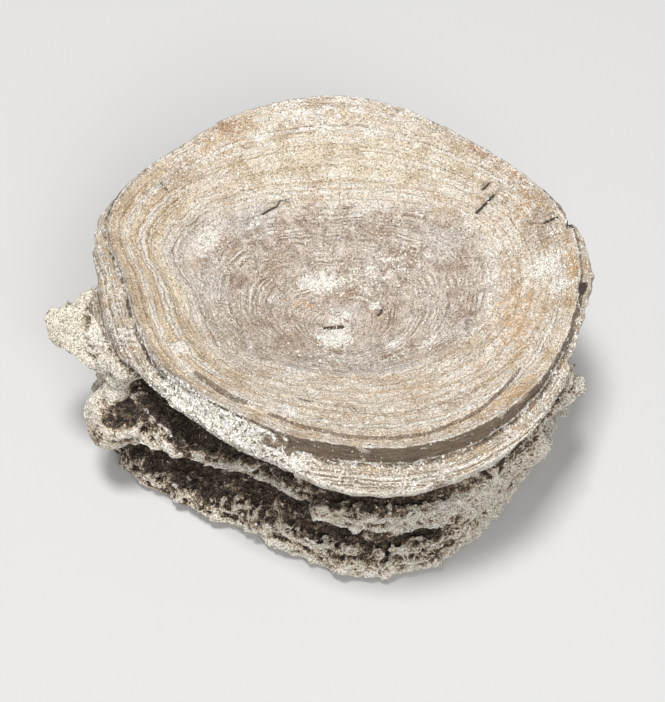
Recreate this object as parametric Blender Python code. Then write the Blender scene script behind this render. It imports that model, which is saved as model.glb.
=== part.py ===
"""Fossil fish vertebra: one centrum, lying on its lower articular face.

The bone is a squat drum between two cupped faces. Its section is walked from the apex of the upper cup,
over the upper rim, down the pitted side with its middle ridge, under the lower rim and up into the lower
cup. One such section stands at each of COLUMNS angles, and the sections are joined into one closed skin.
Angles are in degrees, anticlockwise from +X. Sizes are in millimetres until the mesh is made.
"""

import math

import bmesh
import bpy
from mathutils import Vector, noise

MM = 0.001

# Driving dimensions
HEIGHT = 21.5  # resting plane to the highest part of the upper face
UPPER_CUP_DEPTH = 9.0
LOWER_CUP_DEPTH = 8.0
UPPER_APEX = (-0.5, -1.7)  # the upper cup's apex, off the drum's axis
LOWER_APEX = (0.4, 0.9)
RIDGE_LEVEL = 9.6  # the middle ridge round the side
DRUM_AXIS = (2.2, -0.4)  # the drum's axis, measured from the middle of the whole footprint

# Outlines: a radius or a level every 15 degrees, starting at +X
UPPER_RIM = (
    27.3, 27.0, 25.7, 24.7, 24.8, 25.8, 26.7, 26.7, 26.7, 26.4, 27.5, 28.4,
    26.5, 25.6, 23.8, 22.6, 22.3, 22.6, 24.3, 25.5, 25.9, 26.1, 26.2, 26.1,
)  # fmt: skip
UPPER_RIM_LEVEL = (
    20.1, 20.5, 20.8, 20.8, 20.8, 20.8, 20.8, 20.8, 20.8, 20.8, 20.8, 20.0,
    19.2, 18.6, 18.2, 17.8, 17.4, 17.1, 17.0, 17.0, 17.0, 17.3, 18.0, 19.0,
)  # fmt: skip
FACE_EDGE = (
    25.4, 25.8, 24.9, 24.0, 24.1, 25.1, 25.9, 25.9, 25.9, 25.6, 26.6, 26.7,
    23.4, 22.5, 22.0, 21.1, 20.5, 20.8, 21.3, 22.4, 23.3, 24.0, 24.6, 25.0,
)  # fmt: skip
RIDGE = (
    25.2, 24.6, 23.8, 23.4, 23.8, 24.6, 25.2, 24.8, 24.2, 24.0, 24.8, 25.6,
    26.0, 26.2, 25.8, 22.9, 21.3, 21.2, 23.2, 25.0, 25.2, 25.2, 25.0, 25.2,
)  # fmt: skip
LOWER_RIM = (
    26.4, 26.2, 25.4, 24.8, 24.9, 25.6, 26.2, 26.3, 26.2, 26.1, 26.8, 27.6,
    27.7, 27.8, 26.8, 24.3, 23.0, 23.5, 25.4, 26.6, 26.2, 25.2, 24.9, 25.7,
)  # fmt: skip

# Rims, feet and recesses
FACE_TILT = 0.6  # how much lower the front of the upper face lies than its back
RISER_FOOT = 0.55  # the step round the face runs out this far at its foot
LEDGE_FALL = 1.3  # the ledge outside the step falls this much to the rim
LEDGE_WIDTH = 3.0  # the step's foot and the ledge's fall hold at this width, and shrink with a narrower ledge
LEDGE_BEND = 0.45  # the ledge's flatter outer part, as a share of its width
LEDGE_MARGIN = 0.2  # the step's foot stays this far above the rim and below the face
LIP_THICKNESS = 1.1
LIP_EDGE = (0.2, 0.1)  # the lip's top corner: this far inside the rim and above its level
LIP_ROUNDING = 0.35
UNDER_LIP = (1.3, 0.8)  # the side starts this far inside the rim and below the lip
CUP_FLARE = 1.06  # 1 is a straight cone, more is a little rounder at the rim
APEX_POINT = 0.15  # each cup's apex lies this much deeper than its wall's first ring
LOWER_RIM_LEVEL = 1.3
LOWER_SHOULDER = (0.7, 1.5)  # the side ends this far inside the lower rim and above its level
FOOT_ROUNDING = (0.25, 0.45)  # the lower rim's round edge: this far inside the rim, at this level
RIDGE_HALF_HEIGHT = 1.3
RIDGE_ROUNDING = 0.9
RECESS_DEPTH = 4.2  # how far the side sinks in above and below the ridge
RECESS_FULLNESS = 0.7  # 1 is a round hollow, less has steeper walls and a flatter floor
RESTING_RING = (3.4, 0.9)  # the worn flat foot, from and to this far inside the lower rim
ROUGHNESS = 0.35  # how far the broken side wanders in and out
GRAIN = 4.8  # size of those wanderings
GRAIN_FINENESS = (0.9, 2.0, 3)  # how fast finer wanderings fade, how much finer each is, and how many there are
MEAN_RADIUS = 25.0
CREASE = 40.0  # edges that bend more than this, in degrees, stay sharp
EDGE_CRISPNESS = 1.8  # 1 makes lumps and pits soft bells, more gives them flat tops and steep walls

# The porous slab that bridges both recesses at the front right; its front edge leans back as it rises
SLAB_FROM = -69.0
SLAB_LEAN = 1.3  # degrees of lean for each millimetre of level
SLAB_TO = -20.0
SLAB_BLEND = 6.0

# Lumps on the side: angle, level, radius at the tip, half width, half height
LUMPS = (
    (-163.5, 12.4, 27.6, 2.6, 4.4),  # web between the left process and the knob below it
    (-174.2, 15.4, 32.3, 3.2, 3.0),  # broken process under the upper rim, left
    (-157.5, 8.4, 30.2, 4.0, 2.7),  # knob at the left end of the ridge
    (-20.5, 12.2, 27.7, 3.3, 3.2),  # knob behind the slab, right
    (-33.5, 8.6, 26.7, 2.0, 3.2),  # slab's upper corner
    (3.0, 16.4, 28.0, 2.2, 1.7),  # splinters under the upper rim, right
    (74.0, 13.0, 27.4, 3.2, 3.6),  # broken base of a process, back right
    (112.0, 12.6, 27.8, 3.4, 3.8),  # broken base of a process, back left
)

# Pits in the side: angle, level, radius at the bottom, half width, half height
PITS = (
    (-151.5, 13.2, 19.0, 3.6, 2.2),  # cavity between the left process and its knob
    (-121.0, 12.8, 16.0, 3.0, 1.8),
    (-96.0, 13.2, 17.0, 4.0, 1.6),
    (-62.0, 12.6, 20.0, 2.6, 2.2),  # hollow behind the slab's front edge
    (-73.0, 5.4, 20.5, 2.4, 1.6),
    (-90.0, 5.4, 19.5, 4.0, 1.5),
    (22.0, 14.0, 18.0, 3.8, 2.2),
    (93.0, 13.8, 18.0, 2.8, 2.6),
    (142.0, 13.8, 18.0, 4.2, 2.2),
    (30.0, 5.4, 18.5, 4.0, 1.5),
    (120.0, 5.4, 18.5, 4.4, 1.5),
)

# Mesh density
COLUMNS = 108
CUP_ROWS = 11
RECESS_ROWS = 4

BONE_COLOUR = (0.56, 0.50, 0.40, 1.0)
BONE_ROUGHNESS = 0.8


def around(stations, angle):
    """Smooth closed curve through evenly spaced stations, read at an angle."""
    place = (angle % 360.0) / 360.0 * len(stations)
    first = int(place)
    t = place - first
    a, b, c, d = (stations[(first + k) % len(stations)] for k in (-1, 0, 1, 2))
    bend = (2 * a - 5 * b + 4 * c - d) * t + (3 * b - a - 3 * c + d) * t * t
    return b + 0.5 * t * ((c - a) + bend)


def turn(first, second):
    """Signed angle from second to first, the short way round."""
    return (first - second + 180.0) % 360.0 - 180.0


def smooth(value):
    """Ease from 0 to 1."""
    value = min(max(value, 0.0), 1.0)
    return value * value * (3.0 - 2.0 * value)


def direction(angle):
    """Unit vector at an angle, level with the resting plane."""
    turned = math.radians(angle)
    return Vector((math.cos(turned), math.sin(turned), 0.0))


def slab(angle, level):
    """How much the slab fills the recesses at this place, from 0 to 1."""
    front = SLAB_FROM + SLAB_LEAN * level
    rise = smooth((turn(angle, front) + SLAB_BLEND) / SLAB_BLEND)
    fall = smooth((turn(SLAB_TO, angle) + SLAB_BLEND) / SLAB_BLEND)
    return min(rise, fall)


def carved(radius, angle, level):
    """The side's radius once its lumps, pits and broken texture are worked into it."""
    for middle, height, target, half_width, half_height in PITS + LUMPS:
        along = math.radians(turn(angle, middle)) * MEAN_RADIUS / half_width
        up = (level - height) / half_height
        radius += (target - radius) * math.exp(-((along * along + up * up) ** EDGE_CRISPNESS))
    spot = direction(angle) * MEAN_RADIUS / GRAIN
    spot.z = level / GRAIN
    return radius + ROUGHNESS * noise.fractal(spot, *GRAIN_FINENESS)


def cup(angle, edge_radius, edge_level, depth, apex):
    """One wall of a cup, from just off its apex to just inside its edge."""
    wall = []
    for row in range(1, CUP_ROWS):
        part = row / CUP_ROWS
        centre = Vector((apex[0], apex[1], 0.0)) * (1.0 - part)
        point = centre + direction(angle) * edge_radius * part
        point.z = edge_level - depth * (1.0 - part**CUP_FLARE)
        wall.append(point)
    return wall


def face_level(angle):
    """Level of the upper face's edge, which dips a little towards the front."""
    return HEIGHT - FACE_TILT * (1.0 - math.sin(math.radians(angle))) / 2.0


def upper_rim(angle):
    """Face edge, the step outside it, the sloping ledge and the thin outer lip."""
    edge = around(FACE_EDGE, angle)
    rim = around(UPPER_RIM, angle)
    level = around(UPPER_RIM_LEVEL, angle)
    top = face_level(angle)
    gap = rim - edge
    foot = max(level + LEDGE_MARGIN, min(top - LEDGE_MARGIN, level + LEDGE_FALL * gap / LEDGE_WIDTH))
    return [
        (edge, top),
        (edge + RISER_FOOT * gap / LEDGE_WIDTH, foot),
        (rim - LEDGE_BEND * gap, 0.5 * (foot + level) + LIP_EDGE[1]),
        (rim - LIP_EDGE[0], level + LIP_EDGE[1]),
        (rim, level - LIP_ROUNDING),
        (rim - LIP_ROUNDING, level - LIP_THICKNESS),
    ]


def recess(angle, upper, lower):
    """The sunk wall between two points of the section, deepest in its middle."""
    wall = []
    for row in range(1, RECESS_ROWS + 1):
        part = row / (RECESS_ROWS + 1)
        level = upper[1] + (lower[1] - upper[1]) * part
        sunk = RECESS_DEPTH * math.sin(math.pi * part) ** RECESS_FULLNESS * (1.0 - slab(angle, level))
        radius = upper[0] + (lower[0] - upper[0]) * part - sunk
        wall.append((radius, level))
    return wall


def side(angle):
    """The side from under the upper lip to the lower rim, with its lumps and pits."""
    lip_bottom = around(UPPER_RIM_LEVEL, angle) - LIP_THICKNESS
    under_lip = (around(UPPER_RIM, angle) - UNDER_LIP[0], lip_bottom - UNDER_LIP[1])
    ridge = around(RIDGE, angle)
    shoulder = ridge - RIDGE_ROUNDING * (1.0 - slab(angle, RIDGE_LEVEL))
    above = (shoulder, RIDGE_LEVEL + RIDGE_HALF_HEIGHT)
    below = (shoulder, RIDGE_LEVEL - RIDGE_HALF_HEIGHT)
    on_lower_rim = (around(LOWER_RIM, angle) - LOWER_SHOULDER[0], LOWER_RIM_LEVEL + LOWER_SHOULDER[1])
    walk = [under_lip] + recess(angle, under_lip, above)
    walk += [above, (ridge, RIDGE_LEVEL), below] + recess(angle, below, on_lower_rim)
    walk.append(on_lower_rim)
    return [(carved(radius, angle, level), level) for radius, level in walk]


def foot(angle):
    """The lower rim's rounded edge and the flat ring that the bone rests on."""
    lower = around(LOWER_RIM, angle)
    inner, outer = RESTING_RING
    return [
        (lower, LOWER_RIM_LEVEL),
        (lower - FOOT_ROUNDING[0], FOOT_ROUNDING[1]),
        (lower - outer, 0.0),
        (lower - inner, 0.0),
    ]


def section(angle):
    """Every point of one section between the two apexes."""
    outward = direction(angle)
    upper = cup(angle, around(FACE_EDGE, angle), face_level(angle), UPPER_CUP_DEPTH, UPPER_APEX)
    hem = around(LOWER_RIM, angle) - RESTING_RING[0]
    lower = cup(angle, hem, 0.0, -LOWER_CUP_DEPTH, LOWER_APEX)
    outside = upper_rim(angle) + side(angle) + foot(angle)
    walk = upper + [outward * radius + Vector((0.0, 0.0, level)) for radius, level in outside]
    return walk + lower[::-1]


def add_point(mesh, point):
    """Adds a point that is given from the drum's axis in millimetres."""
    return mesh.verts.new((point + Vector((DRUM_AXIS[0], DRUM_AXIS[1], 0.0))) * MM)


def skin(mesh):
    """Joins the sections and the two apexes into one closed skin."""
    columns = []
    for column in range(COLUMNS):
        angle = 360.0 * column / COLUMNS
        columns.append([add_point(mesh, point) for point in section(angle)])
    top = add_point(mesh, Vector((*UPPER_APEX, HEIGHT - UPPER_CUP_DEPTH - APEX_POINT)))
    bottom = add_point(mesh, Vector((*LOWER_APEX, LOWER_CUP_DEPTH + APEX_POINT)))
    for column, here in enumerate(columns):
        beside = columns[(column + 1) % COLUMNS]
        mesh.faces.new((top, here[0], beside[0]))
        for row in range(len(here) - 1):
            mesh.faces.new((here[row], here[row + 1], beside[row + 1], beside[row]))
        mesh.faces.new((bottom, beside[-1], here[-1]))
    bmesh.ops.triangulate(mesh, faces=mesh.faces[:])


def bone_material():
    """Weathered, chalky bone."""
    material = bpy.data.materials.new("bone")
    material.use_nodes = True
    shader = material.node_tree.nodes["Principled BSDF"]
    shader.inputs["Base Color"].default_value = BONE_COLOUR
    shader.inputs["Roughness"].default_value = BONE_ROUGHNESS
    shader.inputs["Metallic"].default_value = 0.0
    return material


def build_vertebra():
    """The whole centrum as one object."""
    shape = bmesh.new()
    skin(shape)
    mesh = bpy.data.meshes.new("vertebra")
    shape.to_mesh(mesh)
    shape.free()
    mesh.shade_smooth()
    mesh.set_sharp_from_angle(angle=math.radians(CREASE))
    mesh.materials.append(bone_material())
    bone = bpy.data.objects.new("vertebra", mesh)
    bpy.context.scene.collection.objects.link(bone)
    return bone


def main():
    """Clears the scene and builds the bone."""
    for item in list(bpy.data.objects):
        bpy.data.objects.remove(item)
    build_vertebra()


main()
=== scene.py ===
"""Looks of the fossil fish vertebra.

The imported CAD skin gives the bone's large form. Rays read two maps from it, the height of the upper side
and the radius of the side wall, and a grid holds the distances to it. Fine shapes are worked into that
grid, and the surface of the grid becomes the mesh of the bone. Chalk crumbs, bone grit and bone fibres are
joined meshes of their own. Lengths are in millimetres from the drum's axis, and angles in degrees
anticlockwise from +X, until a mesh is made.
"""

import functools
import itertools
import math

import bpy
import numpy as np
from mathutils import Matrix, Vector
from mathutils.bvhtree import BVHTree


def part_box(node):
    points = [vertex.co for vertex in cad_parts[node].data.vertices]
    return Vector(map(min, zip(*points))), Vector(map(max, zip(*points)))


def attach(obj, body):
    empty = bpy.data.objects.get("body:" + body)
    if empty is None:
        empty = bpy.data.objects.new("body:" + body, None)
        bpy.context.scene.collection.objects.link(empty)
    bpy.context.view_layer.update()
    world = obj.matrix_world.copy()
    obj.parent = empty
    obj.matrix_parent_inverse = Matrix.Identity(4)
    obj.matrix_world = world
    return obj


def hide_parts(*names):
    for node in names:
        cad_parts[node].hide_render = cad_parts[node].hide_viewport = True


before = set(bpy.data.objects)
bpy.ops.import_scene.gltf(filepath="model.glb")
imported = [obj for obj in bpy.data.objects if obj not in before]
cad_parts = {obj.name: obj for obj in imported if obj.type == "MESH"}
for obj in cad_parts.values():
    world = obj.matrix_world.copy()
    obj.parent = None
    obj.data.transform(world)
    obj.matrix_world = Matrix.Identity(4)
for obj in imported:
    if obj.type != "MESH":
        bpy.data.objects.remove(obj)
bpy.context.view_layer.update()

MM = 0.001
AXIS = np.array((2.2, -0.4, 0.0))  # foot of the drum's axis in the frame, in millimetres

# Rays
DOWN = Vector((0, 0, -1))
ABOVE = 5.0  # rays over the whole upper side start this far above it
HIGH_UP = 40.0  # level at which rays at single places start
FAR_OUT = 60.0  # radius at which level rays start
PAST = 0.0005  # step past a surface that a ray has met
NUDGE = (0.003, 0.002)  # keeps vertical rays off the skin's own edges

# Sampling
NOISE_SPREAD = 1.45  # brings the spread of spline noise back to one, for each of its axes
CELL = 0.20  # side of a cell of the distance grid
PAST_LAST = 1.001  # keeps places that are read just inside the last cell
COARSE = 0.6  # side of a cell of the coarse grid on which the CAD skin is measured
EDGE_SEARCH = (17.0, 29.0, 0.05)  # first and last radius, and step, of the search for the face's edge
AIR = 1.2  # empty margin round the bone in the grid
ANGLE_STEP = 0.25  # degrees between the side wall's samples
SMOOTH_SAMPLES = 6.0  # how far outlines read round the drum are blurred, in such samples
MEAN_RADIUS = 25.0  # of the side wall
BONE_TRIANGLES = 197000  # after thinning
DETAIL_LEVELS = 10  # steps of the claims to detail
KEEP_FACTOR = 0.0005  # how strongly the claims to detail count when the mesh is thinned

# The upper face
APEX = (-0.5, -1.7)  # deepest point of the upper cup
OVAL_CENTRE = (-0.2, 1.8)  # the grey oval in the middle of the cup
OVAL_HALF = (16.8, 11.0)
OVAL_MEAN_HALF = 13.0  # turns a share of the way out into millimetres
OVAL_ROUNDNESS = 2.3  # 2 is an ellipse, more is squarer
OVAL_RING = 13.5  # the oval's place among the growth rings, in ring millimetres
EDGE_RING = 24.0  # the face edge's place among the growth rings
EDGE_LEVEL = 20.6  # level of the face's edge, taken where no ray from above meets the skin
PLATE_THICK = 3.0  # crisp part of the plate under the face's edge
STEP_ANGLES = (200, 225, 255, 270, 300, 330, 345)  # the thin inner step: angles along it
STEP_INSIDE = (2.6, 2.3, 2.2, 1.8, 2.1, 2.9, 3.2)  # and how far inside the face's edge it runs there

# Arcs of the rim and the side, each from a first to a last angle
CRUST_ARC = (219.0, 254.0)  # crumbly crust over the riser
SHELF_ARC = (256.0, 338.0)  # flat shelf in front of the riser
SHELF_THICK = 1.0
SHELF_OVERHANG = 0.2  # how far the shelf stands out past the lip
SLAB_ARC = (302.0, 330.0)  # porous slab on the right
UPRIGHT_ARC = (276.0, 312.0)  # fibres under the rim that stand upright


# ---------------------------------------------------------------- small helpers


def ease(value, low=0.0, high=1.0):
    """0 up to low and 1 from high on, smooth between; with low above high it falls instead of rising."""
    part = np.clip((value - low) / (high - low), 0.0, 1.0)
    return part * part * (3.0 - 2.0 * part)


def turn(angle, middle):
    """Signed angle from middle to angle, the short way round, in degrees."""
    return (angle - middle + 180.0) % 360.0 - 180.0


def sector(angle, first, last, fade):
    """1 between two angles, anticlockwise, fading to 0 over fade degrees outside them."""
    half = ((last - first) % 360.0) / 2.0
    away = np.abs(turn(angle, first + half))
    return 1.0 - ease(away, half, half + fade)


def angle_of(x, y):
    """Angle of places round the axis, in degrees."""
    return np.degrees(np.arctan2(y, x)) % 360.0


def bell(value, width):
    """Smooth bump: 1 at zero, dying away over width."""
    return np.exp(-((value / width) ** 2))


def spline_parts(t):
    """Six times the weights of a cubic B-spline's four knots, t of the way between the middle two."""
    return (1 - t) ** 3, 3 * t**3 - 6 * t**2 + 4, -3 * t**3 + 3 * t**2 + 3 * t + 1, t**3


def spline_weights(places, knots, wrap):
    """Cubic B-spline weights, one row for each place, given in knot spacings."""
    first = np.floor(places).astype(int)
    weights = np.zeros((len(places), knots), np.float32)
    rows = np.arange(len(places))
    for offset, part in enumerate(spline_parts(places - first)):
        column = first + offset
        column = column % knots if wrap else column
        np.add.at(weights, (rows, column), part / 6.0)
    return weights


def noise_line(places, size, seed):
    """Smooth random curve of unit spread along a line; places and size in millimetres."""
    draw = np.random.default_rng(seed)
    knots = draw.standard_normal(int(np.max(places) / size) + 8)
    at = np.clip(places / size, 0, len(knots) - 5)
    first = np.floor(at).astype(int)
    smooth = sum(part * knots[first + offset] for offset, part in enumerate(spline_parts(at - first)))
    return smooth / 6.0 * NOISE_SPREAD


def noise_block(axes, sizes, seed, wraps=()):
    """Smooth noise of unit spread on the grid that the axes span, with one grain size for each axis."""
    draw = np.random.default_rng(seed)
    weights = []
    for number, (axis, size) in enumerate(zip(axes, sizes)):
        wrap = number in wraps
        span = axis[-1] - axis[0] + (axis[1] - axis[0] if wrap else 0.0)
        knots = max(4, round(span / size)) if wrap else int(span / size) + 5
        pace = span / knots if wrap else size
        weights.append(spline_weights((axis - axis[0]) / pace, knots, wrap))
    block = draw.standard_normal([w.shape[1] for w in weights]).astype(np.float32)
    for axis_weights in weights:
        block = np.tensordot(block, axis_weights, axes=(0, 1))
    return block * NOISE_SPREAD ** len(weights)


def clods(axes, size, seed):
    """Closely packed rounded lumps on a map: 1 at a lump's middle, about 0 in the creases between lumps."""
    draw = np.random.default_rng(seed)
    spans = [axis[-1] - axis[0] + (axis[1] - axis[0]) for axis in axes]
    counts = [max(3, round(span / size)) for span in spans]
    places = draw.random((counts[0], counts[1], 2))
    stray = [0.3 * noise_block(axes, (size, size), seed + part, wraps=(0,)) for part in (1, 2)]
    u = (axes[0] - axes[0][0])[:, None] * counts[0] / spans[0] + stray[0]
    v = (axes[1] - axes[1][0])[None, :] * counts[1] / spans[1] + stray[1]
    square_u, square_v = np.floor(u).astype(int), np.floor(v).astype(int)
    nearest = np.full(u.shape, 9.0)
    for step_u, step_v in itertools.product((-1, 0, 1), repeat=2):
        row, column = square_u + step_u, square_v + step_v
        place = places[row % counts[0], column % counts[1]]
        gap = np.hypot(row + place[..., 0] - u, column + place[..., 1] - v)
        nearest = np.minimum(nearest, gap)
    return np.maximum(1.0 - (nearest / 0.75) ** 2, -0.2)


def soften(block, width):
    """Mean over a cube an odd number of cells across, taken twice."""
    for axis in (0, 1, 2, 0, 1, 2):
        margin = [(width // 2 + 1, width // 2) if k == axis else (0, 0) for k in range(3)]
        sums = np.moveaxis(np.cumsum(np.pad(block, margin, "edge"), axis), axis, 0)
        block = np.moveaxis((sums[width:] - sums[:-width]) / width, 0, axis)
    return block


def blur(values, sigma, axis, wrap=False):
    """Gaussian blur along one axis; sigma is in samples."""
    count = values.shape[axis]
    away = np.abs(np.arange(count)[:, None] - np.arange(count)[None, :])
    if wrap:
        away = np.minimum(away, count - away)
    kernel = np.exp(-0.5 * (away / sigma) ** 2)
    kernel /= kernel.sum(1, keepdims=True)
    return np.moveaxis(np.tensordot(kernel, np.moveaxis(values, axis, 0), axes=(1, 0)), 0, axis)


# ---------------------------------------------------------------- meshes


def new_mesh(name, points, faces):
    """Mesh from points in metres and faces of equal size."""
    mesh = bpy.data.meshes.new(name)
    mesh.vertices.add(len(points))
    mesh.vertices.foreach_set("co", points.astype(np.float32).ravel())
    sides = faces.shape[1]
    mesh.loops.add(faces.size)
    mesh.loops.foreach_set("vertex_index", faces.astype(np.int32).ravel())
    mesh.polygons.add(len(faces))
    mesh.polygons.foreach_set("loop_start", np.arange(0, faces.size, sides, dtype=np.int32))
    mesh.update(calc_edges=True)
    mesh.validate()
    return mesh


def linked(name, data):
    """New object in the scene."""
    thing = bpy.data.objects.new(name, data)
    bpy.context.scene.collection.objects.link(thing)
    return thing


def new_object(name, points, faces):
    """Mesh object from points in drum millimetres and faces of equal size."""
    mesh = new_mesh(name, (points + AXIS) * MM, faces)
    return linked(name, mesh)


def flat_array(items, name, width, kind=np.float32):
    """Values held by mesh elements, as rows of width values."""
    each = 1 if name == "vertex_index" else width
    values = np.empty(len(items) * each, kind)
    items.foreach_get(name, values)
    return values.reshape(-1, width) if width > 1 else values


def drum_points(mesh):
    """A mesh's points in millimetres from the drum's axis."""
    return flat_array(mesh.vertices, "co", 3).astype(float) / MM - AXIS


def ray_tree(mesh):
    """Ray-casting tree of a mesh, in millimetres from the drum's axis."""
    faces = [tuple(face.vertices) for face in mesh.polygons]
    return BVHTree.FromPolygons([Vector(point) for point in drum_points(mesh)], faces)


# ---------------------------------------------------------------- reading the frame

tree = ray_tree(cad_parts["vertebra"].data)
LOW, HIGH = (np.array(corner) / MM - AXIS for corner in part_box("vertebra"))
XS, YS, ZS = (np.arange(low - AIR, high + AIR, CELL) for low, high in zip(LOW, HIGH))
GRID_START = np.array([XS[0], YS[0], ZS[0]])
ANGLES = np.arange(0.0, 360.0, ANGLE_STEP)
GRID_X, GRID_Y = np.meshgrid(XS, YS, indexing="ij")
GRID_R = np.hypot(GRID_X, GRID_Y)
GRID_A = angle_of(GRID_X, GRID_Y)
ALONG = np.radians(ANGLES) * MEAN_RADIUS  # distance round the drum, in millimetres


def way_out(angle):
    """Unit vector outwards from the axis, at an angle in radians."""
    return Vector((math.cos(angle), math.sin(angle), 0.0))


def heights():
    """Height where a vertical ray from above first meets the skin, for each grid column."""
    found = np.full(GRID_X.shape, np.nan)
    for i, x in enumerate(XS):
        for j, y in enumerate(YS):
            hit = tree.ray_cast(Vector((x, y, HIGH[2] + ABOVE)), DOWN)[0]
            if hit is not None:
                found[i, j] = hit.z
    return found


def ray_inwards(surface_tree, out, level):
    """Where a level ray from outside, aimed at the axis, first meets a surface."""
    return surface_tree.ray_cast(out * FAR_OUT + Vector((0, 0, level)), -out)[0]


def ray_down(out, radius):
    """Where a ray from above, at a radius along the way out, first meets the CAD skin."""
    return tree.ray_cast(out * radius + Vector((0, 0, HIGH_UP)), DOWN)[0]


def wall():
    """Radius where a level ray from outside first meets the skin, for each angle and level."""
    found = np.full((len(ANGLES), len(ZS)), np.nan)
    for i, angle in enumerate(np.radians(ANGLES)):
        out = way_out(angle)
        for k, z in enumerate(ZS):
            hit = ray_inwards(tree, out, z)
            if hit is not None and hit.dot(out) > 0:
                found[i, k] = math.hypot(hit.x, hit.y)
    return found


def crossings(x, y):
    """Levels at which a vertical line passes through the skin, from the top down."""
    found = []
    start = HIGH[2] + ABOVE
    while True:
        hit = tree.ray_cast(Vector((x, y, start)), DOWN)[0]
        if hit is None:
            return found
        found.append(hit.z)
        start = hit.z - PAST


def skin_distances():
    """Distance to the CAD skin, negative inside: measured on a coarse grid and read off on the fine one."""
    starts, ends = LOW - AIR - COARSE, HIGH + AIR + 3.0 * COARSE
    xs, ys, zs = (np.arange(start, end, COARSE) for start, end in zip(starts, ends))
    far = 4.0 * COARSE
    distance = np.full((len(xs), len(ys), len(zs)), far)
    for i, x in enumerate(xs):
        for j, y in enumerate(ys):
            levels = np.array(crossings(x + NUDGE[0], y + NUDGE[1]))
            within = (levels[None, :] > zs[:, None]).sum(1) % 2 == 1
            for k, z in enumerate(zs):
                gap = tree.find_nearest(Vector((x, y, z)), far)[3]
                if gap is not None:
                    distance[i, j, k] = gap
            distance[i, j, within] *= -1.0
    block = distance.astype(np.float32)
    for fine, rough in zip((XS, YS, ZS), (xs, ys, zs)):
        weights = spline_weights((fine - rough[0]) / COARSE - 1.0, len(rough), False)
        block = np.tensordot(block, weights, axes=(0, 1))
    return block


def fill_levels(radii):
    """Carries each angle's highest and lowest known radius on to the levels where rays miss."""
    for k in range(radii.shape[1] // 2, radii.shape[1]):
        empty = np.isnan(radii[:, k])
        radii[empty, k] = radii[empty, k - 1]
    for k in range(radii.shape[1] // 2, -1, -1):
        empty = np.isnan(radii[:, k])
        radii[empty, k] = radii[empty, k + 1]
    return radii


def face_edge():
    """Radius of the upper face's edge at each angle: where the surface is highest."""
    radii = np.arange(*EDGE_SEARCH)
    edge = []
    for angle in np.radians(ANGLES):
        out = way_out(angle)
        levels = []
        for radius in radii:
            hit = ray_down(out, radius)
            levels.append(hit.z if hit is not None else 0.0)
        edge.append(radii[int(np.argmax(levels))])
    return blur(np.array(edge), SMOOTH_SAMPLES, 0, wrap=True)


UPPER = heights()
TOP_FILLED = np.where(np.isnan(UPPER), 0.0, UPPER)
WALL = fill_levels(wall())
EDGE = face_edge()


def top_noise(size, seed):
    """Smooth noise over the upper side's map."""
    return noise_block((XS, YS), (size, size), seed)


def side_noise(size_along, size_up, seed):
    """Smooth noise over the side wall's map."""
    return noise_block((ALONG, ZS), (size_along, size_up), seed, wraps=(0,))


def at_angle(values, angle):
    """A value that is known at each of ANGLES, read at any angle."""
    return np.interp(angle % 360.0, np.append(ANGLES, 360.0), np.append(values, values[0]))


def read_map(values, x, y):
    """A height map read at any places."""
    place_x = np.clip((x - XS[0]) / CELL, 0, len(XS) - PAST_LAST)
    place_y = np.clip((y - YS[0]) / CELL, 0, len(YS) - PAST_LAST)
    i, j = place_x.astype(int), place_y.astype(int)
    u, v = place_x - i, place_y - j
    low_row = values[i, j] * (1 - v) + values[i, j + 1] * v
    high_row = values[i + 1, j] * (1 - v) + values[i + 1, j + 1] * v
    return low_row * (1 - u) + high_row * u


# ---------------------------------------------------------------- places on the face


def edge_share(x, y):
    """0 at the cup's apex, 1 at the face's edge; lines of equal share are the CAD cup's level lines."""
    share = np.hypot(x, y) / at_angle(EDGE, angle_of(x, y))
    for _ in range(5):
        off_x = x - APEX[0] * (1.0 - share)
        off_y = y - APEX[1] * (1.0 - share)
        share = np.hypot(off_x, off_y) / at_angle(EDGE, angle_of(off_x, off_y))
    return share


def oval_share(x, y):
    """0 at the cup's apex, 1 on the outline of the grey oval."""
    share = np.ones_like(x)
    for _ in range(5):
        near = np.clip(share, 0.0, 1.0)
        off_x = np.abs(x - OVAL_CENTRE[0] * near - APEX[0] * (1.0 - near)) / OVAL_HALF[0]
        off_y = np.abs(y - OVAL_CENTRE[1] * near - APEX[1] * (1.0 - near)) / OVAL_HALF[1]
        share = (off_x**OVAL_ROUNDNESS + off_y**OVAL_ROUNDNESS) ** (1.0 / OVAL_ROUNDNESS)
    return share


def ring_place(x, y):
    """Place among the growth rings, distance inside the face's edge, and share of the way to the oval."""
    share = edge_share(x, y)
    oval = oval_share(x, y)
    edge = at_angle(EDGE, angle_of(x, y))
    inside = (1.0 - share) * edge
    past = np.maximum(oval - 1.0, 0.0) * OVAL_MEAN_HALF
    part = past / np.maximum(past + np.maximum(inside, 0.0), 1e-6)
    rings = np.where(oval < 1.0, OVAL_RING * oval, OVAL_RING + (EDGE_RING - OVAL_RING) * part)
    return np.where(inside < 0.0, EDGE_RING - inside, rings), inside, oval


def step_inside(angle):
    """How far inside the face's edge the thin inner step runs."""
    return np.interp(angle % 360.0, STEP_ANGLES, STEP_INSIDE)


# ---------------------------------------------------------------- relief of the upper side


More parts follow.
